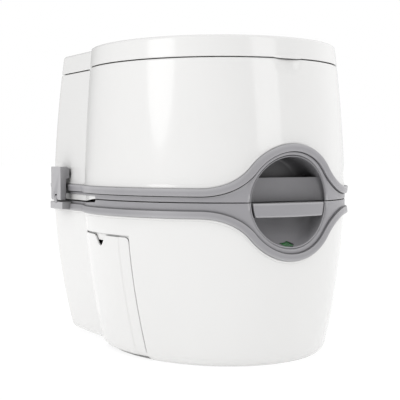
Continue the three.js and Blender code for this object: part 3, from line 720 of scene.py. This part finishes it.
def upper_shell_column(station):
    outer, inner = collar_rows(station, UPPER)
    outer = [(SEAM + h, out) for h, out in outer]
    inner = [(SEAM + h, out) for h, out in inner]
    start = outer[-1][0]
    top = LID_SEAM - LID_GAP / 2
    rows = [(lerp(start, top - 30, step / 16), 0, 0) for step in range(1, 17)]
    rows += [(top - drop, 0, 0) for drop in (27, 24, 21, 18, 15, 12, 9, 6.5, top - LID_EDGE_ROW)]
    rows += [(top - 2.2, 0, 0.1), (top - 1.2, -0.1, 0.1), (top - 0.5, -0.4, -0.1)]
    rows += [(top - 0.12, -0.8, -0.5), (top, -1.3, -1)]
    for z, out, inward in rows:
        scoop = dish(station, z)
        outer.append((z, out + scoop))
        inner.append((z, inward + scoop - WALL))
    return [place(station, *row) for row in outer], [place(station, *row) for row in inner]


def back_between(column, low, high):
    ends = [STATIONS[column], STATIONS[(column + 1) % len(STATIONS)]]
    return all(kind == "back" and low - 0.01 <= x <= high + 0.01 for _, kind, x in ends)


def make_upper_shell():
    outer, inner = zip(*(upper_shell_column(station) for station in STATIONS))
    rows = len(outer[0])

    def keep(i, j):
        return not (back_between(i, *SEAT_ARM_SLOT) and j >= rows - 6)

    bm = sheet_mesh(outer, inner, keep)
    new_piece("flush_tank_shell", bm, "white_plastic", "flush_tank", ["upper_shell"], sharp=50)


# Lid


def lid_column(station):
    x = reference_x(station)
    tab = smoothstep((20.5 - x) / 1.6)
    low = LID_SEAM + LID_GAP / 2
    rim = low - 0.9 * tab
    outer = [(rim, -1.2, 1), (rim, -0.6 + 1.5 * tab, 1), (rim + 0.2, -0.15 + 1.4 * tab, 1)]
    outer += [(rim + 0.7, 1.4 * tab, 1), (low + 2.4, 1.3 * tab, 1), (low + 3.4, 0.7 * tab, 1)]
    outer.append((low + 4.4, 0, 1))
    inner = [(rim, -2.2, 1), (rim, -2.6, 1), (rim + 0.3, -WALL, 1)]
    inner += [(rim + 0.8, -WALL, 1), (low + 2.4, -WALL, 1), (low + 3.4, -WALL, 1), (low + 4.4, -WALL, 1)]
    for z in (low + 7.3, low + 10.3, low + 15, low + 20, HEIGHT - 7, HEIGHT - 5):
        outer.append((z, 0, 1))
        inner.append((min(z, HEIGHT - 6), -WALL - 0.3, 1))
    radius = 4.2
    for angle in (15, 30, 45, 60, 75, 90):
        a = math.radians(angle)
        outer.append((HEIGHT - 1.2 - radius * (1 - math.sin(a)), -radius * (1 - math.cos(a)), 1))
        inner.append((HEIGHT - 4.6 - 1.6 * (1 - math.sin(a)), -WALL - 0.3 - 3 * (1 - math.cos(a)), 1))
    for scale in (0.985, 0.96, 0.92, 0.86, 0.78, 0.68, 0.56, 0.42, 0.28, 0.14, 0):
        crown = HEIGHT - 1.2 * max((scale - 0.7) / 0.3, 0) ** 2
        outer.append((crown, -radius, scale))
        inner.append((crown - WALL - 0.4, -WALL - 4, scale))
    return scaled_column(station, outer), scaled_column(station, inner)


def make_lid():
    outer, inner = zip(*(lid_column(station) for station in STATIONS))

    def keep(i, j):
        return not (back_between(i, *LID_HINGE_SLOT) and j < 8)

    bm = sheet_mesh(outer, inner, keep)
    new_piece("lid_cover", bm, "white_plastic", "lid", ["lid"], sharp=50)


# Grip recess


def front_y(x, z, out):
    """Front surface of the body over a sideways place."""
    width = HALF_WIDTH - fall(z, "width") + out
    front = FRONT - fall(z, "front") + out
    return WIDEST_Y - (front + WIDEST_Y) * (1 - abs(x / width) ** ROUNDNESS) ** (1 / ROUNDNESS)


def scoop_depth(level):
    """Depth of the lower recess at a distance below the seam."""
    share = min(max((CUP_RADIUS - level) / (CUP_RADIUS - SCOOP_START), 0), 1)
    return SCOOP_LIP + (RECESS_DEPTH - SCOOP_LIP) * (1 - (1 - share) ** 2) ** 0.6


def cup_row(side, level, depth, corner, back):
    """Points of one level of a cup's skin, from one side of the rim over the floor to the other."""
    angle = math.asin(min(level / CUP_RADIUS, 1))
    wall = CUP_OUTER if back else CUP_RADIUS
    row = []
    for radius, out in CUP_RIM:
        r = CUP_OUTER if back else radius
        x = r * math.cos(angle)
        z = SEAM + side * r * math.sin(angle)
        row.append((x, front_y(x, z, out - (1.2 if back and out > -2 else 0)), z))
    half = wall * math.cos(angle)
    height = SEAM + side * wall * math.sin(angle)
    floor = -FRONT + depth
    curve = min(corner + (1 if back else 0), half * 0.98)
    start = row[-1][1]
    turn = max(floor - curve, lerp(start, floor, 0.3))
    for step in range(1, 6):
        row.append((half, lerp(start, turn, step / 5), height))
    for a in (math.pi / 2 * step / 6 for step in range(1, 7)):
        row.append((half - curve * (1 - math.cos(a)), lerp(turn, floor, math.sin(a)), height))
    for step in range(1, 9):
        row.append(((half - curve) * (1 - step / 8), floor, height))
    row += [(-x, y, z) for x, y, z in reversed(row[:-1])]
    return [Vector(p) for p in row]


def cup_mesh(side, depth_at, corner, levels):
    """One half of the recess: a rim, a round wall and a floor whose depth depends on the level."""
    front, back = [], []
    for level in levels:
        behind = min(depth_at(level + 2.4) + 2.1, RECESS_DEPTH + 2)
        front.append(cup_row(side, level, depth_at(level), corner, False))
        back.append(cup_row(side, level, behind, corner, True))
    return sheet_mesh(front, back, closed=False, capped=False)


def levels_to_top(breaks):
    """Distances from the seam to the far edge of the recess, closer together at its far end."""
    even = [CUP_RADIUS * math.sin(math.radians(a)) for a in range(3, 91, 3)]
    return sorted(set([0.4] + [h for h in even if all(abs(h - b) > 0.6 for b in breaks)] + list(breaks)))


def make_upper_cup():
    def depth_at(level):
        if level <= SHELF_HEIGHT - 0.9:
            return SHELF_DEPTH
        if level <= SHELF_HEIGHT:
            return SHELF_DEPTH + rounding(SHELF_HEIGHT - level, 0.9, 0.9)
        return RECESS_DEPTH

    breaks = [SHELF_HEIGHT - d for d in (2.42, 2.38, 0.9, 0.5, 0.2, 0, -0.03)]
    bm = cup_mesh(UPPER, depth_at, 17, levels_to_top(breaks))
    piece = new_piece("finger_grip_upper", bm, "grey_plastic", "flush_tank", ["upper_grip_cup"], sharp=40)
    # The darker copy of the grey plastic paints shade into the upper recess
    piece.data.materials[0] = MATERIALS["grey_plastic_painted_shade"]


def make_lower_cup():
    bm = cup_mesh(LOWER, scoop_depth, 10, levels_to_top([SCOOP_START, 5]))
    piece = new_piece("finger_grip_lower", bm, "grey_plastic", "waste_tank", ["lower_grip_cup"], sharp=40)
    # The lighter copy of the grey plastic paints light on the scoop
    piece.data.materials[0] = MATERIALS["grey_plastic_painted_light"]
    back = -(FRONT - RECESS_DEPTH)
    subtract(piece, prism_mesh(rounded(ROD_SLOT, 1.5), 1, back - 6, back + 6))
    subtract(piece, prism_mesh(rounded(FLAG_OPENING, 1.0, 2), 1, -222, -186))
    return piece


def make_handle():
    """Bar across the recess; its front follows the body and its ends follow the recess wall."""
    low, high = corners("valve_handle")
    half_steps = [0, 0.1, 0.2, 0.3, 0.4, 0.5, 0.6, 0.7, 0.8]
    half_steps += [0.88, 0.94, 0.965, 0.98, 0.988, 0.993, 0.997, 1]
    sections = []
    for t in [-v for v in half_steps[:0:-1]] + half_steps:
        edge = rounding(1 - abs(t), 0.02, 1.3)
        bottom, top = low.z + edge, high.z - edge
        profile = [(edge + 2.6, top), (edge + 0.8, top - 0.5), (edge + 0.1, top - 1.8)]
        profile += [(edge, lerp(top, bottom, k / 6)) for k in range(1, 6)]
        profile += [(edge, bottom + 1.7), (edge + 0.5, bottom + 0.5), (edge + 1.8, bottom)]
        section = []
        for d, z in profile:
            x = t * ring_height(abs(z - SEAM), high.x - 0.4)
            section.append((x, front_y(x, z, -1.5) + d, z))
        for z in (bottom, top):
            section.append((t * ring_height(abs(z - SEAM), high.x - 0.4), high.y, z))
        sections.append(section)
    bm = loft_mesh(sections)
    new_piece("valve_pull_handle", bm, "grey_plastic", "valve", ["valve_handle"], sharp=40)


def sloping_plate(low, high, half, shift, thickness):
    """A plate that follows the scoop between two heights, set back from it."""
    sections = []
    for step in range(9):
        z = lerp(low, high, step / 8)
        y = -FRONT + scoop_depth(SEAM - z) + shift
        sections.append([(-half, y, z), (half, y, z), (half, y + thickness, z), (-half, y + thickness, z)])
    return loft_mesh(sections)


def make_window():
    pane = sloping_plate(162, 173.4, 13, 3, 0.9)
    new_piece("level_window", pane, "window", "waste_tank", ["indicator_window"])
    flag = sloping_plate(164.2, 171.6, 10.4, 5.4, 1.2)
    new_piece("level_flag_head", flag, "green_plastic", "gauge")


# Door


def door_top(y):
    """The door's upper edge, with a rounded front corner and the finger notch."""
    top = DOOR_TOP
    from_front = y - DOOR_FRONT
    if from_front < DOOR_CORNER:
        top -= DOOR_CORNER - math.sqrt(DOOR_CORNER ** 2 - (DOOR_CORNER - from_front) ** 2)
    across = abs(y - NOTCH_Y) / (NOTCH_WIDTH / 2)
    if across < 1:
        top -= NOTCH_DEPTH * smoothstep((1 - across) / 0.92) ** 0.85
    return top


def door_stations(before, behind):
    """Stations of the left side along the door, and a little further at its front and rear."""
    low, high = DOOR_FRONT - before, DOOR_REAR + behind
    return [s for s in STATIONS if s[0] < 0 and s[1] == "side" and low <= s[2] <= high]


def make_door():
    stations = door_stations(0, 0)
    outer, inner = [], []
    for station in stations:
        y = station[2]
        front_fold = -FOLD_DEPTH * smoothstep((DOOR_FRONT + DOOR_FOLD - y) / 1.6)
        column_out, column_in = [], []
        for step in range(31):
            z = lerp(door_top(y), DOOR_BOTTOM, step / 30)
            curl = -max(0, 14 - z) ** 2 * 0.045
            column_out.append(place(station, z, front_fold + curl))
            column_in.append(place(station, z, curl - WALL))
        outer.append(column_out)
        inner.append(column_in)
    bm = sheet_mesh(outer, inner, closed=False)
    new_piece("roll_door", bm, "white_plastic", "door", ["door_panel"], sharp=48, bevel=0.7, segments=2)


def make_door_ears():
    low, high = corners("door_hinge_pin")
    pin_x, pin_z = (low.x + high.x) / 2, (low.z + high.z) / 2
    for name, (front, rear) in DOOR_EARS.items():
        root = place((-1, "side", (front + rear) / 2), pin_z, -WALL / 2).x
        points = arc(pin_x, pin_z, EAR_RADIUS, -90, 90, 10)
        points += [(root, pin_z + EAR_RADIUS), (root, pin_z - EAR_RADIUS)]
        new_piece(name, prism_mesh(points, 1, front, rear), "white_plastic", "door", bevel=0.6)


def make_door_stop():
    """Lip behind the upper edge of the door, which shows in its gap and in the finger notch."""
    stations = door_stations(3, 2)
    levels = [lerp(DOOR_TOP - STOP_DROP, DOOR_TOP + 7, step / 6) for step in range(7)]
    outer = [[place(station, z, -WALL - 0.4) for z in levels] for station in stations]
    inner = [[place(station, z, -WALL - 1.8) for z in levels] for station in stations]
    new_piece("door_stop", sheet_mesh(outer, inner, closed=False), "white_plastic", "waste_tank")


# Latches, lugs and hinge parts


LATCH_INNER = LATCH_LOW.x + LATCH_HOOK
LATCH_MIDDLE = (LATCH_INNER + LATCH_HIGH.x) / 2
LATCH_RADIUS = (LATCH_HIGH.x - LATCH_INNER) / 2


def across_side(side, points, front, rear):
    """A prism along y from (x, z) points of the right side, mirrored for the left."""
    return prism_mesh([(side * x, z) for x, z in points], 1, front, rear)


def make_latch(side, body, node_name):
    """Lever with a round foot slotted over the knuckle and a hook at its top."""
    low, high = LATCH_LOW, LATCH_HIGH
    points = [(x, max(z, low.z)) for x, z in arc(LATCH_MIDDLE, LATCH_PIN_Z, LATCH_RADIUS, 180, 360, 12)]
    points += [(high.x, high.z), (LATCH_INNER - 1, high.z), (low.x, high.z - 3.5), (low.x, high.z - 17.5)]
    points.append((LATCH_INNER, high.z - 20))
    name = "latch_lever_right" if side > 0 else "latch_lever_left"
    bm = across_side(side, points, low.y, high.y)
    piece = new_piece(name, bm, "grey_plastic", body, [node_name], sharp=30)
    inner, outer = LATCH_MIDDLE - 20, LATCH_MIDDLE + 20
    roof = LATCH_PIN_Z + KNUCKLE_ROOM
    room = [(inner, 200), (outer, 200), (outer, roof), (inner, roof)]
    subtract(piece, across_side(side, room, KNUCKLE_FRONT - 0.4, KNUCKLE_REAR + 0.4))
    soften(piece, 1.2)
    return piece


def make_latch_seat(side):
    """Sill and knuckle of the lower trim that carry a latch."""
    word = "right" if side > 0 else "left"
    inner = place((1, "side", 150), 210, 1.0).x
    outer = LATCH_HIGH.x - 0.6
    points = [(inner, 204.2), (outer, 204.2), (outer, LATCH_SILL), (inner, LATCH_SILL)]
    bm = across_side(side, points, LATCH_LOW.y - 5, LATCH_HIGH.y + 5)
    new_piece("latch_seat_" + word, bm, "grey_plastic", "waste_tank", bevel=1.1, sharp=30)
    radius = LATCH_RADIUS - 0.1
    points = arc(LATCH_MIDDLE, LATCH_PIN_Z, radius, 0, 180, 14)
    points += [(LATCH_MIDDLE - radius, LATCH_SILL - 2), (LATCH_MIDDLE + radius, LATCH_SILL - 2)]
    bm = across_side(side, points, KNUCKLE_FRONT, KNUCKLE_REAR)
    knuckle = new_piece("latch_knuckle_" + word, bm, "grey_plastic", "waste_tank", sharp=40)
    # The lighter copy of the grey plastic paints light on the knuckle
    knuckle.data.materials[0] = MATERIALS["grey_plastic_painted_light"]


def hinge_block(name, ends, radius, reach, body, nodes=()):
    """An eye round the hinge pin with a tongue that runs to the wall or plate it grows from."""
    points = arc(HINGE_Y, HINGE_Z, radius, -90, 90, 14) + reach
    bm = prism_mesh(points, 0, *sorted(ends))
    new_piece(name, bm, "white_plastic", body, nodes, sharp=30, bevel=0.8)


def make_hinges():
    for side, word in ((-1, "left"), (1, "right")):
        low, high = corners("hinge_lug_" + word)
        foot = [(REAR + 0.5, HINGE_Z + 6.4), (REAR + 0.5, low.z), (REAR + 4, low.z)]
        foot.append((REAR + 5, HINGE_Z - 18))
        nodes = ["hinge_lug_" + word]
        hinge_block("hinge_bracket_" + word, (low.x, high.x), 6.8, foot, "flush_tank", nodes)
        tongue = [(REAR - 3, HINGE_Z + 6.8), (REAR - 3, HINGE_Z + 1.5)]
        hinge_block("lid_hinge_eye_" + word, (side * 78.5, side * 92), 6.8, tongue, "lid")
        bar = [(108, 420.5), (108, 413.5), (HINGE_Y - 8, 413.5)]
        hinge_block("seat_arm_" + word, (side * 54 - 8, side * 54 + 8), 6.4, bar, "seat")


# Seat


def seat_outline():
    """Outline of the seat about the bowl's axis: the body's outline moved in, cut straight at the rear."""
    outline = []
    for station in STATIONS:
        p = place(station, 414, -12)
        if p.y < SEAT_REAR:
            outline.append(Vector((p.x, p.y - BOWL_Y)))
    turn = next(k for k, p in enumerate(outline) if p.x < 0)
    outline.insert(turn, Vector((-outline[turn - 1].x, SEAT_REAR - BOWL_Y)))
    outline.insert(turn, Vector((outline[turn - 1].x, SEAT_REAR - BOWL_Y)))
    return outline


def seat_edge(outline, angle):
    """Distance of the outline from the bowl's axis in a direction."""
    direction = Vector((math.cos(angle), math.sin(angle)))
    reach = 300
    for a, b in zip(outline, outline[1:] + outline[:1]):
        edge = b - a
        normal = Vector((edge.y, -edge.x))
        facing = normal.dot(direction)
        if facing > 1e-6:
            reach = min(reach, normal.dot(a) / facing)
    return reach


def seat_profile(edge, base):
    """Outer and inner (radius, height) rows over the seat from its edge to its hole."""
    top = base + SEAT_THICKNESS
    shares = (0.15, 0.3, 0.45, 0.6, 0.75, 0.88)
    crest = SEAT_HOLE + 4
    outer = [(edge, base), (edge, top - 4.5), (edge - 0.5, top - 2.6), (edge - 1.7, top - 1.2)]
    outer.append((edge - 3.6, top - 0.4))
    outer += [(lerp(edge - 3.6, crest, t), top - 0.4 + 0.4 * math.sin(t * math.pi)) for t in shares]
    outer += [(crest, top - 0.6), (SEAT_HOLE + 1.9, top - 1.7), (SEAT_HOLE + 0.6, top - 3.6)]
    outer += [(SEAT_HOLE, top - 6), (SEAT_HOLE, base)]
    inner = [(edge - 3, base), (edge - 3, top - 5), (edge - 3.2, top - 4.6), (edge - 3.6, top - 4.3)]
    inner.append((edge - 4, top - 4))
    inner += [(lerp(edge - 4, crest, t), top - 4) for t in shares]
    inner += [(crest, top - 4), (SEAT_HOLE + 3.4, top - 4.4), (SEAT_HOLE + 3, top - 5)]
    inner += [(SEAT_HOLE + 3, top - 6.5), (SEAT_HOLE + 3, base)]
    return outer, inner


def make_seat():
    base = corners("seat")[0].z
    outline = seat_outline()
    columns_out, columns_in = [], []
    steps = 160
    for i in range(steps):
        angle = 2 * math.pi * i / steps
        x, y = math.cos(angle), math.sin(angle)
        outer, inner = seat_profile(seat_edge(outline, angle), base)
        columns_out.append([Vector((x * r, BOWL_Y + y * r, z)) for r, z in outer])
        columns_in.append([Vector((x * r, BOWL_Y + y * r, z)) for r, z in inner])
    bm = sheet_mesh(columns_out, columns_in)
    new_piece("seat_ring", bm, "white_plastic", "seat", ["seat"], sharp=40)


# Bowl, deck fittings and caps


def curve_through(points, steps=5):
    """A smooth line through profile points."""
    result = []
    for i in range(len(points) - 1):
        before = Vector(points[max(i - 1, 0)])
        a, b = Vector(points[i]), Vector(points[i + 1])
        after = Vector(points[min(i + 2, len(points) - 1)])
        for k in range(steps):
            t = k / steps
            p = 0.5 * (2 * a + (b - before) * t + (2 * before - 5 * a + 4 * b - after) * t ** 2
                       + (3 * a - before - 3 * b + after) * t ** 3)
            result.append((p.x, p.y))
    result.append(tuple(points[-1]))
    return result


def make_bowl():
    low, high = corners("bowl")
    inside = curve_through([(42, low.z), (42, 248), (63, 264), (93, 301), (110, 350), (117, high.z - 4)])
    rim = [(118.2, high.z - 1.2), (120, high.z - 0.2), (124, high.z), (126.3, high.z - 0.6)]
    under = [(127, high.z - 1.8), (127, high.z - 2.5), (119, high.z - 2.6)]
    outside = curve_through([(113.5, 350), (96.5, 300), (66, 261), (45, 245), (45, low.z)])
    bm = lathe_mesh(inside + rim + under + outside + [inside[0]], 0, BOWL_Y, 120)
    new_piece("bowl_basin", bm, "white_plastic", "flush_tank", ["bowl"], sharp=45)


def middle(low, high):
    return (low.x + high.x) / 2, (low.y + high.y) / 2


def grip_bar(x, y, half_x, half_y, corner, low, high):
    """The rounded bar across a cap."""
    signs = ((-1, -1), (1, -1), (1, 1), (-1, 1))
    points = [(x + half_x * a, y + half_y * b) for a, b in signs]
    return prism_mesh(rounded(points, corner), 2, low, high)


def make_filler_cap():
    low, high = corners("filler_cap")
    x, y = middle(low, high)
    disc = high.z - 9

    def grips(r, z, angle):
        return r + (0.5 * math.cos(24 * angle) if 26 < r <= 28 and z < disc + 3 else 0)

    profile = [(0, low.z), (20.4, low.z), (20.4, disc), (26.8, disc), (28, disc + 0.8), (28, disc + 2.6)]
    profile += [(27.2, disc + 3.6), (25.5, disc + 4), (14, disc + 4.1), (0, disc + 4.2)]
    bm = lathe_mesh(profile, x, y, 144, grips)
    new_piece("filler_cap_disc", bm, "grey_plastic", "filler_cap", ["filler_cap"])
    bm = grip_bar(x, y, 20, 3, 3, disc + 3.6, high.z)
    new_piece("filler_cap_grip", bm, "grey_plastic", "filler_cap", bevel=1.4)


def make_flush_button():
    low, high = corners("flush_button")
    profile = [(0, low.z), (16.6, low.z), (16.4, high.z - 3), (15.8, high.z - 1.2), (14.2, high.z - 0.2)]
    profile += [(12, high.z - 0.1), (8, high.z - 0.9), (0, high.z - 1.3)]
    bm = lathe_mesh(profile, *middle(low, high))
    new_piece("flush_button_cap", bm, "grey_plastic", "flush_plunger", ["flush_button"])


def make_spout_cap():
    low, high = corners("spout_cap")
    x, y = middle(low, high)
    disc = low.z + 8

    def knurl(r, _, angle):
        return r + (0.4 * math.cos(30 * angle) if r > 23.5 else 0)

    profile = [(0, disc), (20.4, disc), (20.4, low.z), (23.4, low.z), (24, low.z + 0.8), (24, disc + 1.8)]
    profile += [(23.2, disc + 2.8), (21.5, disc + 3), (0, disc + 3)]
    bm = lathe_mesh(profile, x, y, 150, knurl)
    new_piece("spout_cap_cover", bm, "dark_plastic", "spout_cap", ["spout_cap"])
    bm = grip_bar(x, y, 3, 20, 2.8, disc + 2.6, high.z)
    new_piece("spout_cap_grip", bm, "dark_plastic", "spout_cap", bevel=1.3)


def make_spindle():
    low, high = corners("roll_spindle")
    x, z = (low.x + high.x) / 2, (low.z + high.z) / 2
    end = [(0, 0), (2.2, 0), (2.5, 0.4), (2.5, 5), (5.4, 5), (6, 6)]
    profile = [(r, low.y + d) for r, d in end]
    profile += [(6, -12), (5.2, -11.4), (5.2, -0.6), (6, 0)]
    profile += [(r, high.y - d) for r, d in reversed(end)]
    bm = lathe_mesh(profile, x, z, 40, axis=1)
    new_piece("paper_spindle", bm, "inner_plastic", "roll_holder", ["roll_spindle"])


# CAD nodes that stay as they are, with softened edges and a procedural finish


def finish_cad_nodes():
    slots = {part["node"]: part["material_slot"] for part in frame["record"]["subparts"]}
    for name, cad in frame["nodes"].items():
        if cad.hide_render:
            continue
        cad.data.materials.clear()
        cad.data.materials.append(MATERIALS[slots[name]])
        modifier = cad.modifiers.new("edges", "BEVEL")
        modifier.width = 0.45 * MM
        modifier.segments = 2
        modifier.limit_method = "ANGLE"
        modifier.angle_limit = math.radians(40)


make_lower_shell()
make_upper_shell()
make_trim("waste_tank_trim", LOWER, "waste_tank", ["lower_trim"])
make_trim("flush_tank_trim", UPPER, "flush_tank", ["upper_trim"])
make_lid()
make_upper_cup()
make_lower_cup()
make_handle()
make_window()
make_door()
make_door_ears()
make_door_stop()
make_latch(-1, "left_latch", "latch_left")
make_latch(1, "right_latch", "latch_right")
make_latch_seat(-1)
make_latch_seat(1)
make_hinges()
make_seat()
make_bowl()
make_filler_cap()
make_flush_button()
make_spout_cap()
make_spindle()
finish_cad_nodes()


# Stage, light and camera, in metres

FLOOR_HALF = 30.0
FLOOR_SEEN, FLOOR_GLOW = 0.9, 0.28
DOME_BRIGHT = (0.5, -0.3, 0.3)
DOME_START = -0.46
DOME_LOW, DOME_HIGH = 0.26, 1.4
LIGHT_TARGET = (0, 0, 0.3)
CAMERA_AZIMUTH, CAMERA_PITCH = math.radians(-31.04), math.radians(2.53)
CAMERA_DISTANCE, CAMERA_HEIGHT = 1.4534, 0.2836
CAMERA_LENS, CAMERA_SENSOR, CAMERA_SHIFT = 85.75, 36, -0.031


def make_floor():
    """Pale floor that looks plain to the camera and throws a little light up on the object."""
    bm = bmesh.new()
    h = FLOOR_HALF
    bm.faces.new([bm.verts.new(p) for p in ((-h, -h, 0), (h, -h, 0), (h, h, 0), (-h, h, 0))])
    mesh = bpy.data.meshes.new("floor")
    bm.to_mesh(mesh)
    bm.free()
    floor = bpy.data.objects.new("floor", mesh)
    bpy.context.scene.collection.objects.link(floor)
    material = bpy.data.materials.new("pale_floor")
    material.use_nodes = True
    tree = material.node_tree
    inputs = tree.nodes["Principled BSDF"].inputs
    inputs["Roughness"].default_value = 0.9
    inputs["Specular IOR Level"].default_value = 0.0
    inputs["Emission Color"].default_value = (1, 1, 1, 1)
    seen = tree.nodes.new("ShaderNodeLightPath").outputs["Is Camera Ray"]
    tree.links.new(mapped(tree, seen, FLOOR_GLOW, FLOOR_SEEN), inputs["Emission Strength"])
    tree.links.new(tinted(tree, seen, (0.8, 0.8, 0.8), (0.14, 0.14, 0.14)), inputs["Base Color"])
    mesh.materials.append(material)
    floor.visible_shadow = False


def make_light(name, location, width, height, radiance, shape="RECTANGLE"):
    data = bpy.data.lights.new(name, "AREA")
    data.shape = shape
    data.size = width
    data.size_y = height
    data.energy = radiance * math.pi * width * height
    light = bpy.data.objects.new(name, data)
    bpy.context.scene.collection.objects.link(light)
    light.location = location
    light.rotation_euler = (Vector(LIGHT_TARGET) - Vector(location)).to_track_quat("-Z", "Y").to_euler()


def make_world():
    """A soft dome, brighter above and on both sides than in front; seen directly it is plain white."""
    world = bpy.data.worlds.new("studio")
    bpy.context.scene.world = world
    world.use_nodes = True
    tree = world.node_tree
    background = tree.nodes["Background"]
    background.inputs[0].default_value = (1, 1, 1, 1)
    direction = tree.nodes.new("ShaderNodeTexCoord").outputs["Generated"]
    folded = tree.nodes.new("ShaderNodeVectorMath")
    folded.operation = "ABSOLUTE"
    tree.links.new(direction, folded.inputs[0])
    towards = tree.nodes.new("ShaderNodeVectorMath")
    towards.operation = "DOT_PRODUCT"
    towards.inputs[1].default_value = Vector(DOME_BRIGHT).normalized()
    tree.links.new(folded.outputs["Vector"], towards.inputs[0])
    dome = mapped(tree, towards.outputs["Value"], DOME_LOW, DOME_HIGH, DOME_START, 1.0)
    seen = tree.nodes.new("ShaderNodeLightPath").outputs["Is Camera Ray"]
    strength = node(tree, "ShaderNodeMix")
    tree.links.new(seen, strength.inputs[0])
    tree.links.new(dome, strength.inputs[2])
    strength.inputs[3].default_value = 1.0
    tree.links.new(strength.outputs[0], background.inputs[1])


def make_camera():
    data = bpy.data.cameras.new("camera")
    data.sensor_width = CAMERA_SENSOR
    data.lens = CAMERA_LENS
    data.shift_x = CAMERA_SHIFT
    camera = bpy.data.objects.new("camera", data)
    bpy.context.scene.collection.objects.link(camera)
    across, along = math.sin(CAMERA_AZIMUTH), -math.cos(CAMERA_AZIMUTH)
    camera.location = (across * CAMERA_DISTANCE, along * CAMERA_DISTANCE + CENTRE_Y * MM, CAMERA_HEIGHT)
    level = math.cos(CAMERA_PITCH)
    back = Vector((across * level, along * level, math.sin(CAMERA_PITCH)))
    camera.rotation_euler = (-back).to_track_quat("-Z", "Y").to_euler()
    bpy.context.scene.camera = camera


make_floor()
make_world()
make_light("front_box", (0.55, -2.95, 1.45), 1.33, 1.9, 1.5)
make_light("side_box", (-3.0, -0.1, 1.3), 1.35, 1.5, 1.6, "ELLIPSE")
make_camera()
bpy.context.scene.view_settings.view_transform = "Standard"
